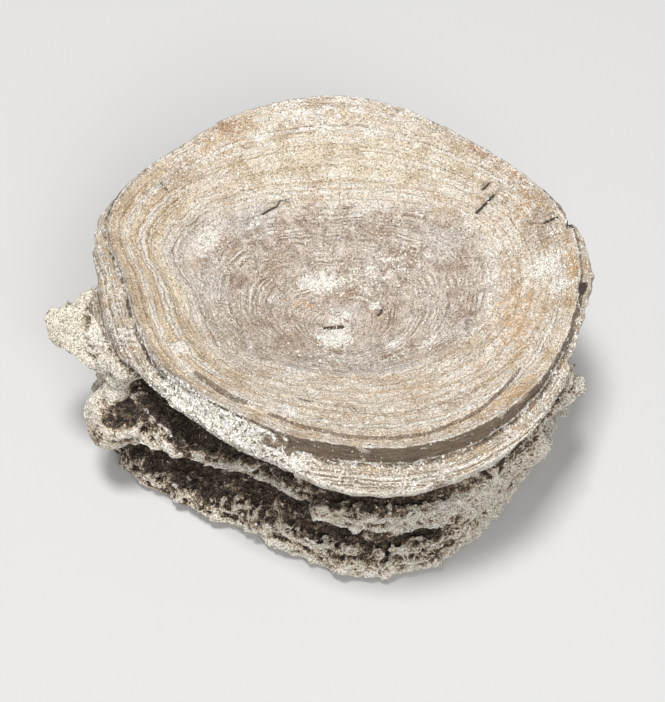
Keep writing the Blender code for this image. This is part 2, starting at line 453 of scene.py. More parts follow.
# Grooves along the face's edge, or ridges where the depth is below zero: distance inside the edge, depth,
# first and last angle
GROOVES = (
    (0.45, 0.18, 150.0, 222.0),
    (1.15, -0.16, 158.0, 215.0),
    (1.65, 0.20, 150.0, 228.0),
    (2.35, -0.16, 160.0, 210.0),
    (2.85, 0.18, 165.0, 225.0),
    (3.70, 0.20, 155.0, 205.0),
    (4.30, -0.14, 160.0, 200.0),
    (5.40, 0.16, 150.0, 190.0),
    (0.70, 0.18, 20.0, 60.0),
    (1.90, 0.16, 340.0, 50.0),
)


def plate_relief(rings, inside, oval):
    """Rings, flakes, steps and grooves of the cupped face, as heights to add."""
    fine = top_noise(0.42, 1)
    coarse = top_noise(1.6, 2)
    broad = top_noise(5.0, 3)
    warped = rings + 0.16 * coarse + 0.06 * fine
    relief = 0.042 * noise_line(warped, 0.40, 4) + 0.06 * noise_line(warped, 1.1, 5)
    relief *= 0.18 + 0.82 * ease(oval, 0.85, 1.1)
    relief *= 0.55 + 0.45 * ease(broad + 0.6 * coarse, -0.8, 0.8)
    relief += 0.04 * fine + 0.02 * coarse + 0.05 * broad
    flakes = ease(coarse + 0.6 * broad + 0.3 * fine, 0.95, 1.02)
    relief -= 0.16 * flakes * ease(oval, 0.9, 1.0)
    ragged = oval + 0.025 * coarse + 0.012 * fine
    upper_left = 0.25 + 0.75 * sector(GRID_A, 95.0, 150.0, 25.0)
    relief -= 0.30 * upper_left * (1.0 - ease(ragged, 0.99, 1.008))
    scabs = clods((XS, YS), 1.5, 8)
    relief += 0.20 * ease(scabs, 0.45, 0.75) * ease(broad - 0.5 * coarse, 0.9, 1.3)

    step = step_inside(GRID_A) + 0.06 * coarse
    front = sector(GRID_A, 212.0, 322.0, 22.0)
    relief -= 0.62 * front * ease(step - inside, -0.12, 0.12)
    relief -= 0.18 * front * bell(inside - step + 0.28, 0.2)
    rolled = front * ease(inside, 0.0, 0.5)
    relief += 0.08 * rolled * ease(step - inside, 0.0, 0.2) * noise_line(inside + 0.05 * coarse, 0.35, 9)
    for line, depth, first, last in GROOVES:
        wide = 0.17 if depth > 0 else 0.2
        groove = bell(inside - line - 0.09 * coarse - 0.03 * fine, wide)
        relief -= depth * sector(GRID_A, first, last, 10.0) * groove
    top_step = sector(GRID_A, 68.0, 97.0, 3.0) * ease(0.75 + 0.12 * coarse - inside, -0.1, 0.1)
    return relief - 0.35 * top_step


def ledge_width():
    """Distance from the face's edge out to the lip, at every column of the grid."""
    return at_angle(LIP, GRID_A) - at_angle(EDGE, GRID_A)


def ledge_relief(inside):
    """Crumbs, strata, crust and the edge groove of the ledge outside the face, as heights to add."""
    outside = np.maximum(-inside, 0.0)
    fine = top_noise(0.42, 6)
    coarse = top_noise(1.6, 7)
    lumps = 0.6 * clods((XS, YS), 1.1, 51) + 0.4 * clods((XS, YS), 0.6, 54)
    strata = noise_line(outside + 0.07 * coarse + 0.04 * fine + 8.0, 0.33, 57)
    layered = sector(GRID_A, 155.0, 220.0, 8.0)
    front = np.maximum(sector(GRID_A, 262.0, 322.0, 8.0), sector(GRID_A, 30.0, 160.0, 10.0))
    gap = ledge_width()
    even = np.maximum(layered, front) * ease(1.4 * gap - outside, -0.3, 0.3)
    relief = (0.30 * (lumps - 0.5) + 0.08 * fine) * (1.0 - 0.75 * even) + (0.02 + 0.15 * even) * strata
    relief += 0.05 * coarse * even
    relief -= 0.55 * sector(GRID_A, 164.0, 222.0, 6.0) * bell(outside - 0.30, 0.24)
    relief += 0.4 * layered * ease(outside, 0.5, 1.0) * ease(gap - 0.4 - outside, 0.0, 0.6)
    crust = sector(GRID_A, *CRUST_ARC, 5.0)
    return relief + crust * ease(outside, 0.0, 0.5) * (0.35 * (lumps - 0.4) + 0.10 * fine)


def plate_heights(inside):
    """Smoothed height of the cupped face, carried on level past its edge."""
    known = np.where(np.isnan(UPPER), EDGE_LEVEL, UPPER)
    angle = np.radians(GRID_A)
    edge = at_angle(EDGE, GRID_A) - 0.25
    at_edge = read_map(known, edge * np.cos(angle), edge * np.sin(angle))
    whole = np.where(inside > 0.2, known, at_edge)
    soft = blur(blur(whole, 4.0, 0), 4.0, 1)
    return whole + (soft - whole) * ease(inside, 1.8, 3.2)


def shelf_heights(inside):
    """Height of the flat shelf in front of the riser; it rises out of the way towards both its ends."""
    gap = np.maximum(ledge_width(), 0.5)
    shelf = at_angle(RIM, GRID_A) + 0.1 + 0.5 * np.clip(1.0 + inside / gap, 0.0, 1.0) ** 2
    return shelf + 5.0 * (1.0 - sector(GRID_A, *SHELF_ARC, 6.0))


def crust_heights(inside, plate_top):
    """Height of the crumbly crust that buries the riser at the front left."""
    gap = np.maximum(ledge_width(), 0.5)
    lip_level = at_angle(RIM, GRID_A) + 0.1
    part = np.clip(1.0 + inside / gap, 0.0, 1.0)
    crust = lip_level + (plate_top - 0.55 - lip_level) * part**1.2
    return crust - 6.0 * (1.0 - sector(GRID_A, *CRUST_ARC, 6.0))


# ---------------------------------------------------------------- relief of the side wall


def swirled(size_along, size_up, seed):
    """Fibres on the side wall: stretched noise whose grain bends and wanders."""
    fibres = side_noise(size_along, size_up, seed)
    shift_along = 1.6 * side_noise(4.5, 3.5, seed + 1)
    shift_up = 1.1 * side_noise(4.5, 3.5, seed + 2)
    pace = ALONG[1] - ALONG[0]
    i = np.arange(len(ALONG))[:, None] + shift_along / pace
    k = np.clip(np.arange(len(ZS))[None, :] + shift_up / CELL, 0, len(ZS) - PAST_LAST)
    first_i, first_k = np.floor(i).astype(int), np.floor(k).astype(int)
    u, v = i - first_i, k - first_k
    first_i, next_i = first_i % len(ALONG), (first_i + 1) % len(ALONG)
    here = fibres[first_i, first_k] * (1 - u) + fibres[next_i, first_k] * u
    above = fibres[first_i, first_k + 1] * (1 - u) + fibres[next_i, first_k + 1] * u
    return here * (1 - v) + above * v


def upright_share(angle, level):
    """1 where the fibres under the rim stand upright, 0 elsewhere."""
    return sector(angle, *UPRIGHT_ARC, 8.0) * ease(level, 10.0, 11.2)


def side_relief():
    """Lumps, beads, fibres and stalks of the side wall, as distances outwards to add."""
    level = ZS[None, :]
    angle = ANGLES[:, None]
    rim = at_angle(RIM, ANGLES)[:, None]
    spongy = ease(rim - 1.5 - level, 0.0, 0.8) * ease(level, 0.2, 1.0)
    knobs = side_noise(2.2, 1.5, 11)
    grain = side_noise(0.42, 0.40, 12)
    lumps = clods((ALONG, ZS), 1.5, 60)
    beads = clods((ALONG, ZS), 0.75, 63)
    fibres = np.maximum(1.0 - 1.6 * np.abs(swirled(2.4, 0.55, 13)), -1.0)
    stalks = side_noise(0.55, 3.0, 16)
    stalks = np.maximum(1.0 - 1.6 * np.abs(stalks), -1.0)
    upright = upright_share(angle, level)
    ropes = np.maximum(sector(angle, 188.0, 262.0, 10.0), bell(level - 9.0, 2.4)) * (1.0 - upright)
    slab = sector(angle, 298.0, 328.0, 6.0) * (1.0 - upright)
    relief = 0.22 * knobs * (1.0 - 0.6 * slab) + 0.10 * grain
    relief = relief + (0.26 - 0.1 * ropes) * (lumps - 0.45) * (1.0 - 0.7 * slab)
    relief = relief + 0.20 * (beads - 0.45) * (1.0 - 0.5 * slab)
    relief = relief + (0.12 + 0.16 * ropes) * fibres * (1.0 - slab) + 0.30 * upright * stalks
    chips = side_noise(1.2, 3.0, 15)
    lip = ease(level - rim, -1.6, -0.6)
    return spongy * relief - lip * (0.08 * chips + 0.04 * grain)


def find_lip():
    """Radius and level of the lip at each angle: the wall's widest part above the upper recess."""
    lowest = 16.0 + 1.4 * sector(ANGLES, 168.0, 206.0, 3.0)
    reach = np.where(ZS[None, :] > lowest[:, None], WALL, 0.0).max(1)
    radii = blur(reach, SMOOTH_SAMPLES, 0, wrap=True)
    levels = []
    for angle, radius in zip(np.radians(ANGLES), radii):
        levels.append(ray_down(way_out(angle), radius - 0.35).z)
    return radii, blur(np.array(levels), SMOOTH_SAMPLES, 0, wrap=True)


LIP, RIM = find_lip()


# ---------------------------------------------------------------- the grid of distances


def lookup(values):
    """A map over angles and levels, read at every cell of the grid."""
    place = GRID_A / ANGLE_STEP
    first = place.astype(int) % len(ANGLES)
    part = (place - np.floor(place))[:, :, None].astype(np.float32)
    values = values.astype(np.float32)
    return values[first] * (1 - part) + values[(first + 1) % len(ANGLES)] * part


def near(place, reach):
    """The block of cells within reach of a place, and its coordinates from that place."""
    cuts = []
    offsets = []
    for axis, middle in zip((XS, YS, ZS), place):
        first, last = np.searchsorted(axis, (middle - reach, middle + reach))
        cuts.append(slice(first, last))
        offsets.append(axis[first:last] - middle)
    return tuple(cuts), np.meshgrid(*offsets, indexing="ij", sparse=True)


def polar(angle, radius, level):
    """Point at an angle, a radius and a level."""
    turned = math.radians(angle)
    return np.array([radius * math.cos(turned), radius * math.sin(turned), level])


def merge(a, b, softness):
    """Smallest of two distances, rounded where they meet."""
    part = np.clip(0.5 + 0.5 * (b - a) / softness, 0.0, 1.0)
    return b + (a - b) * part - softness * part * (1.0 - part)


def overlap(*distances):
    """Distance to what several shapes have in common."""
    return functools.reduce(np.maximum, distances)


def join(cuts, distance, softness, add):
    """Adds a shape to a block of the grid, or carves it out."""
    if add:
        FIELD[cuts] = merge(FIELD[cuts], distance, softness)
    else:
        FIELD[cuts] = -merge(-FIELD[cuts], distance, softness)


def blob(place, half, facing, softness, add):
    """Adds or carves an ellipsoid; half is its half size across, up and outwards, facing is an angle."""
    reach = max(half) + softness
    cuts, (dx, dy, dz) = near(place, reach)
    turned = math.radians(facing)
    outward = dx * math.cos(turned) + dy * math.sin(turned)
    across = dy * math.cos(turned) - dx * math.sin(turned)
    size = np.sqrt((across / half[0]) ** 2 + (dz / half[1]) ** 2 + (outward / half[2]) ** 2)
    join(cuts, (size - 1.0) * min(half), softness, add)


def carve_bar(start, end, thick, softness):
    """Carves a round bar between two points."""
    start, end = np.array(start), np.array(end)
    middle, way = (start + end) / 2.0, end - start
    cuts, offsets = near(middle, np.linalg.norm(way) / 2.0 + thick + softness)
    offsets = [offset + along for offset, along in zip(offsets, middle - start)]
    along = sum(offset * part for offset, part in zip(offsets, way)) / float(way @ way)
    along = np.clip(along, 0.0, 1.0)
    gap = np.sqrt(sum((offset - along * part) ** 2 for offset, part in zip(offsets, way)))
    join(cuts, gap - thick, softness, add=False)


def beyond_plane(offsets, shift, facing):
    """Distance of places beyond a plane; offsets lead to the places, and shift on from the plane."""
    way = np.array(facing) / np.linalg.norm(facing)
    return sum((offset + along) * part for offset, along, part in zip(offsets, shift, way))


def facet(place, facing, reach):
    """Breaks the bone off flat: nothing stays outside the plane through a place, within reach of it."""
    cuts, offsets = near(place, reach)
    FIELD[cuts] = np.maximum(FIELD[cuts], beyond_plane(offsets, (0.0, 0.0, 0.0), facing))


def wedge(middle, reach, planes):
    """Puts an angular block, bounded by planes, in place of the bone within reach of a place."""
    cuts, offsets = near(middle, reach)
    block = np.full(FIELD[cuts].shape, -reach, np.float32)
    for place, facing in planes:
        block = np.maximum(block, beyond_plane(offsets, np.subtract(middle, place), facing))
    axes = [axis[cut] for axis, cut in zip((XS, YS, ZS), cuts)]
    rough = 0.16 * noise_block(axes, (1.3, 1.3, 0.9), 33) + 0.07 * noise_block(axes, (0.45, 0.45, 0.4), 34)
    inner = (np.sqrt(sum(offset**2 for offset in offsets)) - reach) * 1.5 + 2.0
    FIELD[cuts] = merge(np.maximum(FIELD[cuts], np.minimum(block, -inner)), block + rough, 0.25)


STRAND_MIDDLE = 284.0  # angle of the strand's middle
STRAND_PLACES = (-20.0, -12.0, -4.0, 3.0, 10.0, 16.0)  # angles along the strand, from its middle
STRAND_RADII = (22.6, 23.1, 23.5, 23.8, 24.0, 24.0)
STRAND_LEVELS = (10.0, 9.3, 8.8, 8.4, 8.4, 9.2)


def strand_field():
    """Distance to the rounded strand of bone that hangs along the ridge at the front."""
    along = turn(GRID_A, STRAND_MIDDLE)
    radius = np.interp(along, STRAND_PLACES, STRAND_RADII)[:, :, None]
    level = np.interp(along, STRAND_PLACES, STRAND_LEVELS)[:, :, None]
    thick = 1.4 - 3.0 * (1.0 - sector(GRID_A, 264.0, 300.0, 6.0))[:, :, None]
    return np.hypot(GRID_R[:, :, None] - radius, ZS[None, None, :] - level) - thick


def smooth_field(inside, plate_top):
    """Distances to the bone's large form, positive outside, with a crisp plate edge and shelf."""
    level = ZS[None, None, :]
    edge_gap = -inside[:, :, None]
    above_plate = level - plate_top[:, :, None]
    plate = overlap(above_plate, edge_gap, -PLATE_THICK - above_plate)
    above_shelf = level - shelf_heights(inside)[:, :, None]
    past_lip = GRID_R[:, :, None] - at_angle(LIP, GRID_A)[:, :, None] - SHELF_OVERHANG
    far_in = inside[:, :, None] - 1.0
    lip = overlap(above_shelf, past_lip, -SHELF_THICK - above_shelf, far_in)
    lip = lip + 3.0 * (1.0 - sector(GRID_A, 258.0, 336.0, 5.0))[:, :, None]
    field = np.minimum(np.minimum(skin_distances(), plate), lip)
    field = np.maximum(field, np.minimum(edge_gap, above_shelf))
    above_crust = level - crust_heights(inside, plate_top)[:, :, None]
    below_rim = at_angle(RIM, GRID_A)[:, :, None] - 0.8 - level
    crust = overlap(above_crust, past_lip + SHELF_OVERHANG, below_rim, far_in)
    return merge(np.minimum(field, crust), strand_field(), 0.8).astype(np.float32)


def under_relief():
    """Growth rings and grain of the lower cup and the flat foot, as heights to add."""
    rough = top_noise(0.5, 21)
    lower_rings = noise_line(GRID_R + 0.15 * top_noise(2.0, 22), 0.8, 23)
    return ease(GRID_R, 24.0, 22.0) * (0.06 * lower_rings + 0.04 * rough)


def roughened(field, inside, plate_top):
    """Adds the relief of the upper side, the wall and the underside, where the surface faces its way."""
    rings, _, oval = ring_place(GRID_X, GRID_Y)
    near_plate = ease(ZS[None, None, :] - plate_top[:, :, None], -2.4, -1.6)
    on_plate = ease(inside, -0.12, 0.12)[:, :, None] * near_plate
    ledge = ledge_relief(inside)[:, :, None]
    upper = ledge + on_plate * (plate_relief(rings, inside, oval)[:, :, None] - ledge)
    slope = np.gradient(field, CELL, axis=2)
    upward = ease(slope, 0.35, 0.75)
    downward = ease(-slope, 0.35, 0.75)
    sideways = 1.0 - upward - downward
    field = field - upward * upper - sideways * lookup(side_relief())
    return (field - downward * under_relief()[:, :, None]).astype(np.float32)


def sponge(field, inside):
    """Pores and knots in the broken bone of the side, but not in the two cups."""
    slope = np.gradient(field, CELL, axis=2)
    upper_cup = ease(slope, 0.1, 0.5) * ease(inside, -0.3, 0.1)[:, :, None]
    lower_cup = ease(-slope, 0.1, 0.5) * ease(GRID_R, 25.0, 23.5)[:, :, None]
    cups = upper_cup + lower_cup
    rim = at_angle(RIM, GRID_A)[:, :, None]
    level = ZS[None, None, :]
    mask = ease(rim - 1.6 - level, 0.0, 0.8) * ease(level, 0.3, 1.1) * np.clip(1.0 - cups, 0.0, 1.0)
    mask *= 1.0 - 0.85 * sector(GRID_A, *SLAB_ARC, 5.0)[:, :, None]
    fine = noise_block((XS, YS, ZS), (0.42, 0.42, 0.38), 30)
    knots = noise_block((XS, YS, ZS), (0.85, 0.85, 0.6), 31)
    strands = noise_block((XS, YS, ZS), (1.3, 1.3, 0.45), 32)
    pores = np.maximum(0.7 * fine + 0.6 * knots - 1.35, 0.0)
    return field + mask * (0.13 * fine - 0.10 * knots + 0.20 * np.abs(strands) - 0.11 + 0.6 * pores)


def bone_field():
    """The whole field of distances, before the placed shapes."""
    inside = ring_place(GRID_X, GRID_Y)[1]
    plate_top = plate_heights(inside)
    field = smooth_field(inside, plate_top)
    return sponge(roughened(field, inside, plate_top), inside)


FIELD = bone_field()


# ---------------------------------------------------------------- placed shapes

# Hollows in the side: angle, level, radius of the middle, half sizes across, up and outwards
HOLLOWS = (
    (-151.0, 13.3, 24.2, 3.0, 1.7, 3.0),  # cavity between the left process and its knob
    (-145.0, 12.6, 22.5, 2.6, 1.7, 2.6),
    (-132.0, 11.4, 21.6, 1.1, 1.3, 1.9),  # twin holes behind a strand
    (-126.0, 11.2, 20.8, 1.1, 1.3, 1.9),
    (-114.0, 10.0, 20.4, 1.1, 0.9, 1.6),
    (-100.0, 7.2, 21.2, 3.2, 1.0, 1.8),  # long hollow under the ridge's strand
    (-66.0, 5.4, 24.6, 1.1, 1.9, 2.4),  # deep hollow in front of the slab
    (-57.5, 10.2, 25.4, 1.1, 0.5, 1.3),  # slit and holes in the slab
    (-52.5, 11.8, 25.3, 0.7, 0.6, 1.2),
    (-54.5, 10.9, 25.4, 0.5, 0.4, 1.0),
    (-17.5, 13.4, 26.6, 0.8, 1.1, 1.6),  # hole behind the right knob
    (-0.3, 19.2, 26.2, 0.8, 1.0, 1.1),  # holes under the rim at the right
    (17.4, 19.9, 26.3, 0.9, 0.9, 1.0),
    (-7.5, 18.4, 26.4, 0.7, 1.1, 0.9),
    (7.5, 18.6, 26.9, 0.9, 0.8, 0.9),
    (-13.0, 17.6, 26.2, 0.9, 0.9, 0.9),
)

# Lumps on the side, given in the same way
LUMPS = (
    (-158.5, 9.6, 28.2, 2.3, 1.7, 2.2),  # knob at the left end of the ridge
    (-155.5, 7.9, 28.4, 2.2, 1.5, 1.9),
    (-172.0, 16.5, 27.5, 1.6, 0.9, 1.4),  # root of the process, under the rim
    (-165.5, 12.0, 26.0, 1.3, 2.2, 1.8),
    (-164.0, 14.9, 26.0, 1.6, 1.3, 1.5),  # knobs of the web between the process and the knob
    (-160.5, 13.6, 25.4, 1.3, 1.1, 1.4),
    (-158.5, 15.4, 24.8, 1.0, 0.8, 1.2),
    (-160.8, 15.8, 24.9, 1.6, 1.2, 1.4),
    (-159.5, 11.9, 26.0, 1.3, 1.1, 1.4),
    (-78.0, 3.9, 22.4, 2.6, 1.2, 1.3),  # rounded form in the lower recess
    (-176.0, 15.6, 29.8, 2.0, 1.2, 2.3),
    (-19.5, 11.6, 26.4, 2.2, 1.3, 1.6),
    (-34.0, 9.2, 25.8, 1.5, 1.3, 1.2),
)


# Flat breaks: angle, level and radius of a place on the break, the way it faces, and its reach
BREAKS = (
    (-154.0, 8.6, 29.6, (-0.75, -0.65, 0.35), 3.4),  # knob at the left end of the ridge
    (-160.0, 10.6, 29.3, (-0.9, -0.1, 0.5), 3.0),
    (-26.0, 12.5, 26.4, (0.5, -0.35, -0.66), 2.6),  # underside of the right knob
)

# The left process is an angular wedge: points on its faces, and the way each face looks
PROCESS = (
    ((-32.2, -2.7, 16.8), (0.07, -0.29, 0.96)),  # upper face
    ((-32.2, -2.7, 16.8), (-1.0, -0.12, -0.3)),  # broken end
    ((-32.2, -2.7, 16.8), (-0.5, 0.87, -0.1)),  # back
    ((-31.3, -5.2, 15.9), (-0.5, -0.6, -0.31)),  # front
    ((-30.0, -4.0, 14.2), (-0.1, -0.1, -1.0)),  # underside
)
PROCESS_MIDDLE = (-29.6, -3.4, 15.4)
PROCESS_REACH = 4.6


def shape_side():
    """Works the placed hollows and lumps into the side."""
    for angle, level, radius, across, up, outward in HOLLOWS:
        blob(polar(angle, radius, level), (across, up, outward), angle, 0.35, add=False)
    for angle, level, radius, across, up, outward in LUMPS:
        blob(polar(angle, radius, level), (across, up, outward), angle, 0.7, add=True)
    for angle, level, radius, facing, reach in BREAKS:
        facet(polar(angle, radius, level), facing, reach)
    wedge(PROCESS_MIDDLE, PROCESS_REACH, PROCESS)


# Slits, cracks and broken edges in the face: start and end (x, y), and how wide and dark they are; their
# dark colour is painted shade
SLITS = (
    ((15.2, 10.3), (17.1, 12.0), 0.95),
    ((15.9, 12.9), (16.8, 13.7), 0.85),
    ((20.9, 7.8), (22.5, 7.6), 0.6),
    ((22.4, 7.6), (23.8, 8.0), 0.9),
    ((25.6, -1.9), (26.0, -1.1), 2.0),
    ((24.9, 6.6), (25.1, 7.1), 1.3),
    ((-11.3, 10.2), (-8.9, 11.5), 0.6),  # the flake at the oval's upper left, from here
    ((-8.9, 11.5), (-7.3, 12.6), 0.85),
    ((-7.3, 12.6), (-7.0, 13.3), 0.75),
    ((-7.0, 13.3), (-6.0, 13.2), 0.65),
    ((-6.0, 13.2), (-5.6, 12.4), 0.5),
    ((-5.6, 12.4), (-5.0, 11.6), 0.5),
    ((-5.7, 9.9), (-4.0, 9.9), 0.5),  # ring edges in the oval, from here
    ((-4.0, 9.9), (-1.9, 9.6), 0.5),
    ((-6.6, 7.7), (-5.5, 8.3), 0.45),
    ((-5.5, 8.3), (-4.3, 8.8), 0.45),
    ((-20.4, 13.4), (-19.6, 12.6), 0.7),
    ((-11.4, 19.2), (-10.4, 18.9), 0.6),
    ((-1.8, -1.1), (0.1, -0.9), 1.1),
    ((4.1, -0.1), (4.4, 0.1), 1.0),
    ((-4.4, -13.9), (-3.0, -14.3), 0.7),
    ((2.8, 17.6), (4.2, 17.2), 0.4),
    ((8.6, 18.4), (9.8, 17.9), 0.4),
)


# Round crumbs stuck on the face: place (x, y), half size across and height
FACE_LUMPS = (
    (21.4, 1.5, 0.60, 0.34),
    (23.6, -0.9, 0.66, 0.40),
    (22.8, -0.6, 0.38, 0.32),
    (22.0, 5.8, 0.36, 0.28),
    (-16.9, -8.4, 0.60, 0.36),
    (-16.2, -9.0, 0.34, 0.30),
    (-5.3, -16.6, 0.75, 0.42),
    (-5.8, -15.7, 0.45, 0.34),
)


def slit_distance(x, y, start, end):
    """Distance in plan from places to the line between two points."""
    start, end = np.array(start), np.array(end)
    way = end - start
    along = np.clip(((x - start[0]) * way[0] + (y - start[1]) * way[1]) / (way @ way), 0.0, 1.0)
    return np.hypot(x - start[0] - along * way[0], y - start[1] - along * way[1])


def slit_mask(x, y):
    """1 in the middle of a slit, where it is darkened with painted shade, 0 away from all of them."""
    total = np.zeros_like(x)
    for start, end, strength in SLITS:
        away = slit_distance(x, y, start, end)
        total = np.maximum(total, strength * bell(away, 0.12 + 0.12 * strength))
    return total


def face_level(x, y):
    """Level of the bone's upper side at a place, from the height map."""
    i = int(np.clip(round((x - XS[0]) / CELL), 0, len(XS) - 1))
    j = int(np.clip(round((y - YS[0]) / CELL), 0, len(YS) - 1))
    return float(UPPER[i, j])


def shape_face():
    """Cuts the slits into the face and raises the round crumbs on it."""
    for start, end, strength in SLITS:
        points = [(*place, face_level(*place)) for place in (start, end)]
        carve_bar(points[0], points[1], 0.12 + 0.22 * strength, 0.1)
    for x, y, half, height in FACE_LUMPS:
        blob((x, y, face_level(x, y)), (half, height, half), 0.0, 0.15, add=True)


shape_side()
shape_face()


# ---------------------------------------------------------------- mesh of the bone

CORNERS = np.array(list(itertools.product((0, 1), repeat=3)))  # of a cell


def cell_edges():
    """Pairs of corners of a cell that an edge joins."""
    pairs = itertools.combinations(range(8), 2)
    return [(a, b) for a, b in pairs if np.abs(CORNERS[a] - CORNERS[b]).sum() == 1]


def surface_points(field, cells):
    """Mean place, for each cell, of the points where its edges cross the surface."""
    values = np.stack([field[tuple((cells + corner).T)] for corner in CORNERS], 1)
    total = np.zeros((len(cells), 3))
    hits = np.zeros(len(cells))
    for a, b in cell_edges():
        first, second = values[:, a], values[:, b]
        crosses = (first < 0) != (second < 0)
        part = np.where(crosses, first / np.where(crosses, first - second, 1.0), 0.0)
        total += crosses[:, None] * (CORNERS[a] + part[:, None] * (CORNERS[b] - CORNERS[a]))
        hits += crosses
    return GRID_START + (cells + total / hits[:, None]) * CELL


def surface_faces(inside, number):
    """A face across each step of the grid that leads into or out of the bone, through the cells near it."""
    faces = []
    for axis in range(3):
        ahead, u, v = (np.eye(3, dtype=int)[(axis + step) % 3] for step in range(3))
        size = np.array(inside.shape) - ahead
        here = inside[: size[0], : size[1], : size[2]]
        there = inside[ahead[0] :, ahead[1] :, ahead[2] :]
        for leaving in (True, False):
            places = np.argwhere(here & ~there if leaving else ~here & there)
            places = places[(places >= 1).all(1) & (places < number.shape).all(1)]
            steps = ((0, 0), (1, 0), (1, 1), (0, 1))
            ring = [number[tuple((places - du * u - dv * v).T)] for du, dv in steps]
            faces.append(np.stack(ring if leaving else ring[::-1], 1))
    return np.concatenate(faces)


def surface(field):
    """Points and four-sided faces of the surface where the field is zero: a point in each crossed cell."""
    inside = field < 0.0
    shape = np.array(field.shape) - 1
    count = np.zeros(shape, np.uint8)
    for i, j, k in CORNERS:
        count += inside[i : i + shape[0], j : j + shape[1], k : k + shape[2]]
    crossed = (count > 0) & (count < 8)
    cells = np.argwhere(crossed)
    number = np.full(shape, -1, np.int32)
    number[crossed] = np.arange(len(cells))
    return surface_points(field, cells), surface_faces(inside, number)


def largest_part(points, faces):
    """Keeps the biggest connected piece of the surface."""
    label = np.arange(len(points))
    ends = np.concatenate([faces[:, [0, 1]], faces[:, [1, 2]], faces[:, [2, 3]], faces[:, [3, 0]]])
    while True:
        lowest = np.minimum(label[ends[:, 0]], label[ends[:, 1]])
        fresh = label.copy()
        np.minimum.at(fresh, ends[:, 0], lowest)
        np.minimum.at(fresh, ends[:, 1], lowest)
        fresh = fresh[fresh]
        if np.array_equal(fresh, label):
            break
        label = fresh
    main = label == np.bincount(label).argmax()
    number = np.cumsum(main) - 1
    return points[main], number[faces[main[faces[:, 0]]]]


def sample(block, points):
    """A grid's values read at points, blended between cells."""
    places = (points - GRID_START) / CELL
    places = np.clip(places, 0.0, np.array(block.shape) - PAST_LAST)
    first = places.astype(int)
    part = places - first
    total = np.zeros(len(points))
    for corner in CORNERS:
        weight = np.prod(np.where(corner == 1, part, 1.0 - part), axis=1)
        total += weight * block[tuple((first + corner).T)]
    return total


def sorted_triangles(mesh):
    """A mesh's triangles in one fixed order, each from its lowest point number on, and none twice."""
    numbers = flat_array(mesh.loops, "vertex_index", 3, np.int32)
    turns = (numbers.argmin(1)[:, None] + np.arange(3)) % 3
    numbers = np.take_along_axis(numbers, turns, axis=1)
    numbers = numbers[np.lexsort(numbers.T[::-1])]
    _, first = np.unique(np.sort(numbers, axis=1), axis=0, return_index=True)
    return numbers[np.sort(first)]


def thin_out(thing, triangles, keep):
    """Decimates a mesh to a number of triangles; keep is each point's claim to detail, from 0 to 1."""
    group = thing.vertex_groups.new(name="loose")
    for level in range(DETAIL_LEVELS):
        members = np.flatnonzero(np.round(keep * (DETAIL_LEVELS - 1)) == level)
        group.add(members.tolist(), 1.0 - level / DETAIL_LEVELS, "REPLACE")
    modifier = thing.modifiers.new("thin", "DECIMATE")
    modifier.ratio = triangles / (2.0 * len(thing.data.polygons))
    modifier.use_collapse_triangulate = True
    modifier.vertex_group = group.name
    modifier.vertex_group_factor = KEEP_FACTOR
    evaluated = thing.evaluated_get(bpy.context.evaluated_depsgraph_get())
    thinned = bpy.data.meshes.new_from_object(evaluated)
    thing.modifiers.clear()
    thing.vertex_groups.clear()
    thing.data = new_mesh(thing.name, flat_array(thinned.vertices, "co", 3), sorted_triangles(thinned))


def claim_to_detail(points):
    """How much detail each part of the bone deserves: the face most, the underside least."""
    x, y, z = points.T
    angle = angle_of(x, y)
    inside = ring_place(x, y)[1]
    face = ease(z - read_map(TOP_FILLED, x, y), -1.2, -0.6) * ease(inside, -2.5, -1.5)
    front = 0.6 * sector(angle, 170.0, 350.0, 10.0) * ease(z, 0.3, 0.8)
    return overlap(face, front, 0.1 + 0.2 * ease(z, 0.3, 0.8))


def flatten_foot(mesh):
    """Lifts the points that lie under the floor up to it, so that the bone rests flat."""
    for vertex in mesh.vertices:
        vertex.co.z = max(vertex.co.z, 0.0)


def build_bone():
    """The bone itself."""
    points, faces = largest_part(*surface(FIELD))
    bone = new_object("bone", points, faces)
    thin_out(bone, BONE_TRIANGLES, claim_to_detail(points))
    flatten_foot(bone.data)
    bone.data.shade_smooth()
    return bone


# ---------------------------------------------------------------- where the colours lie

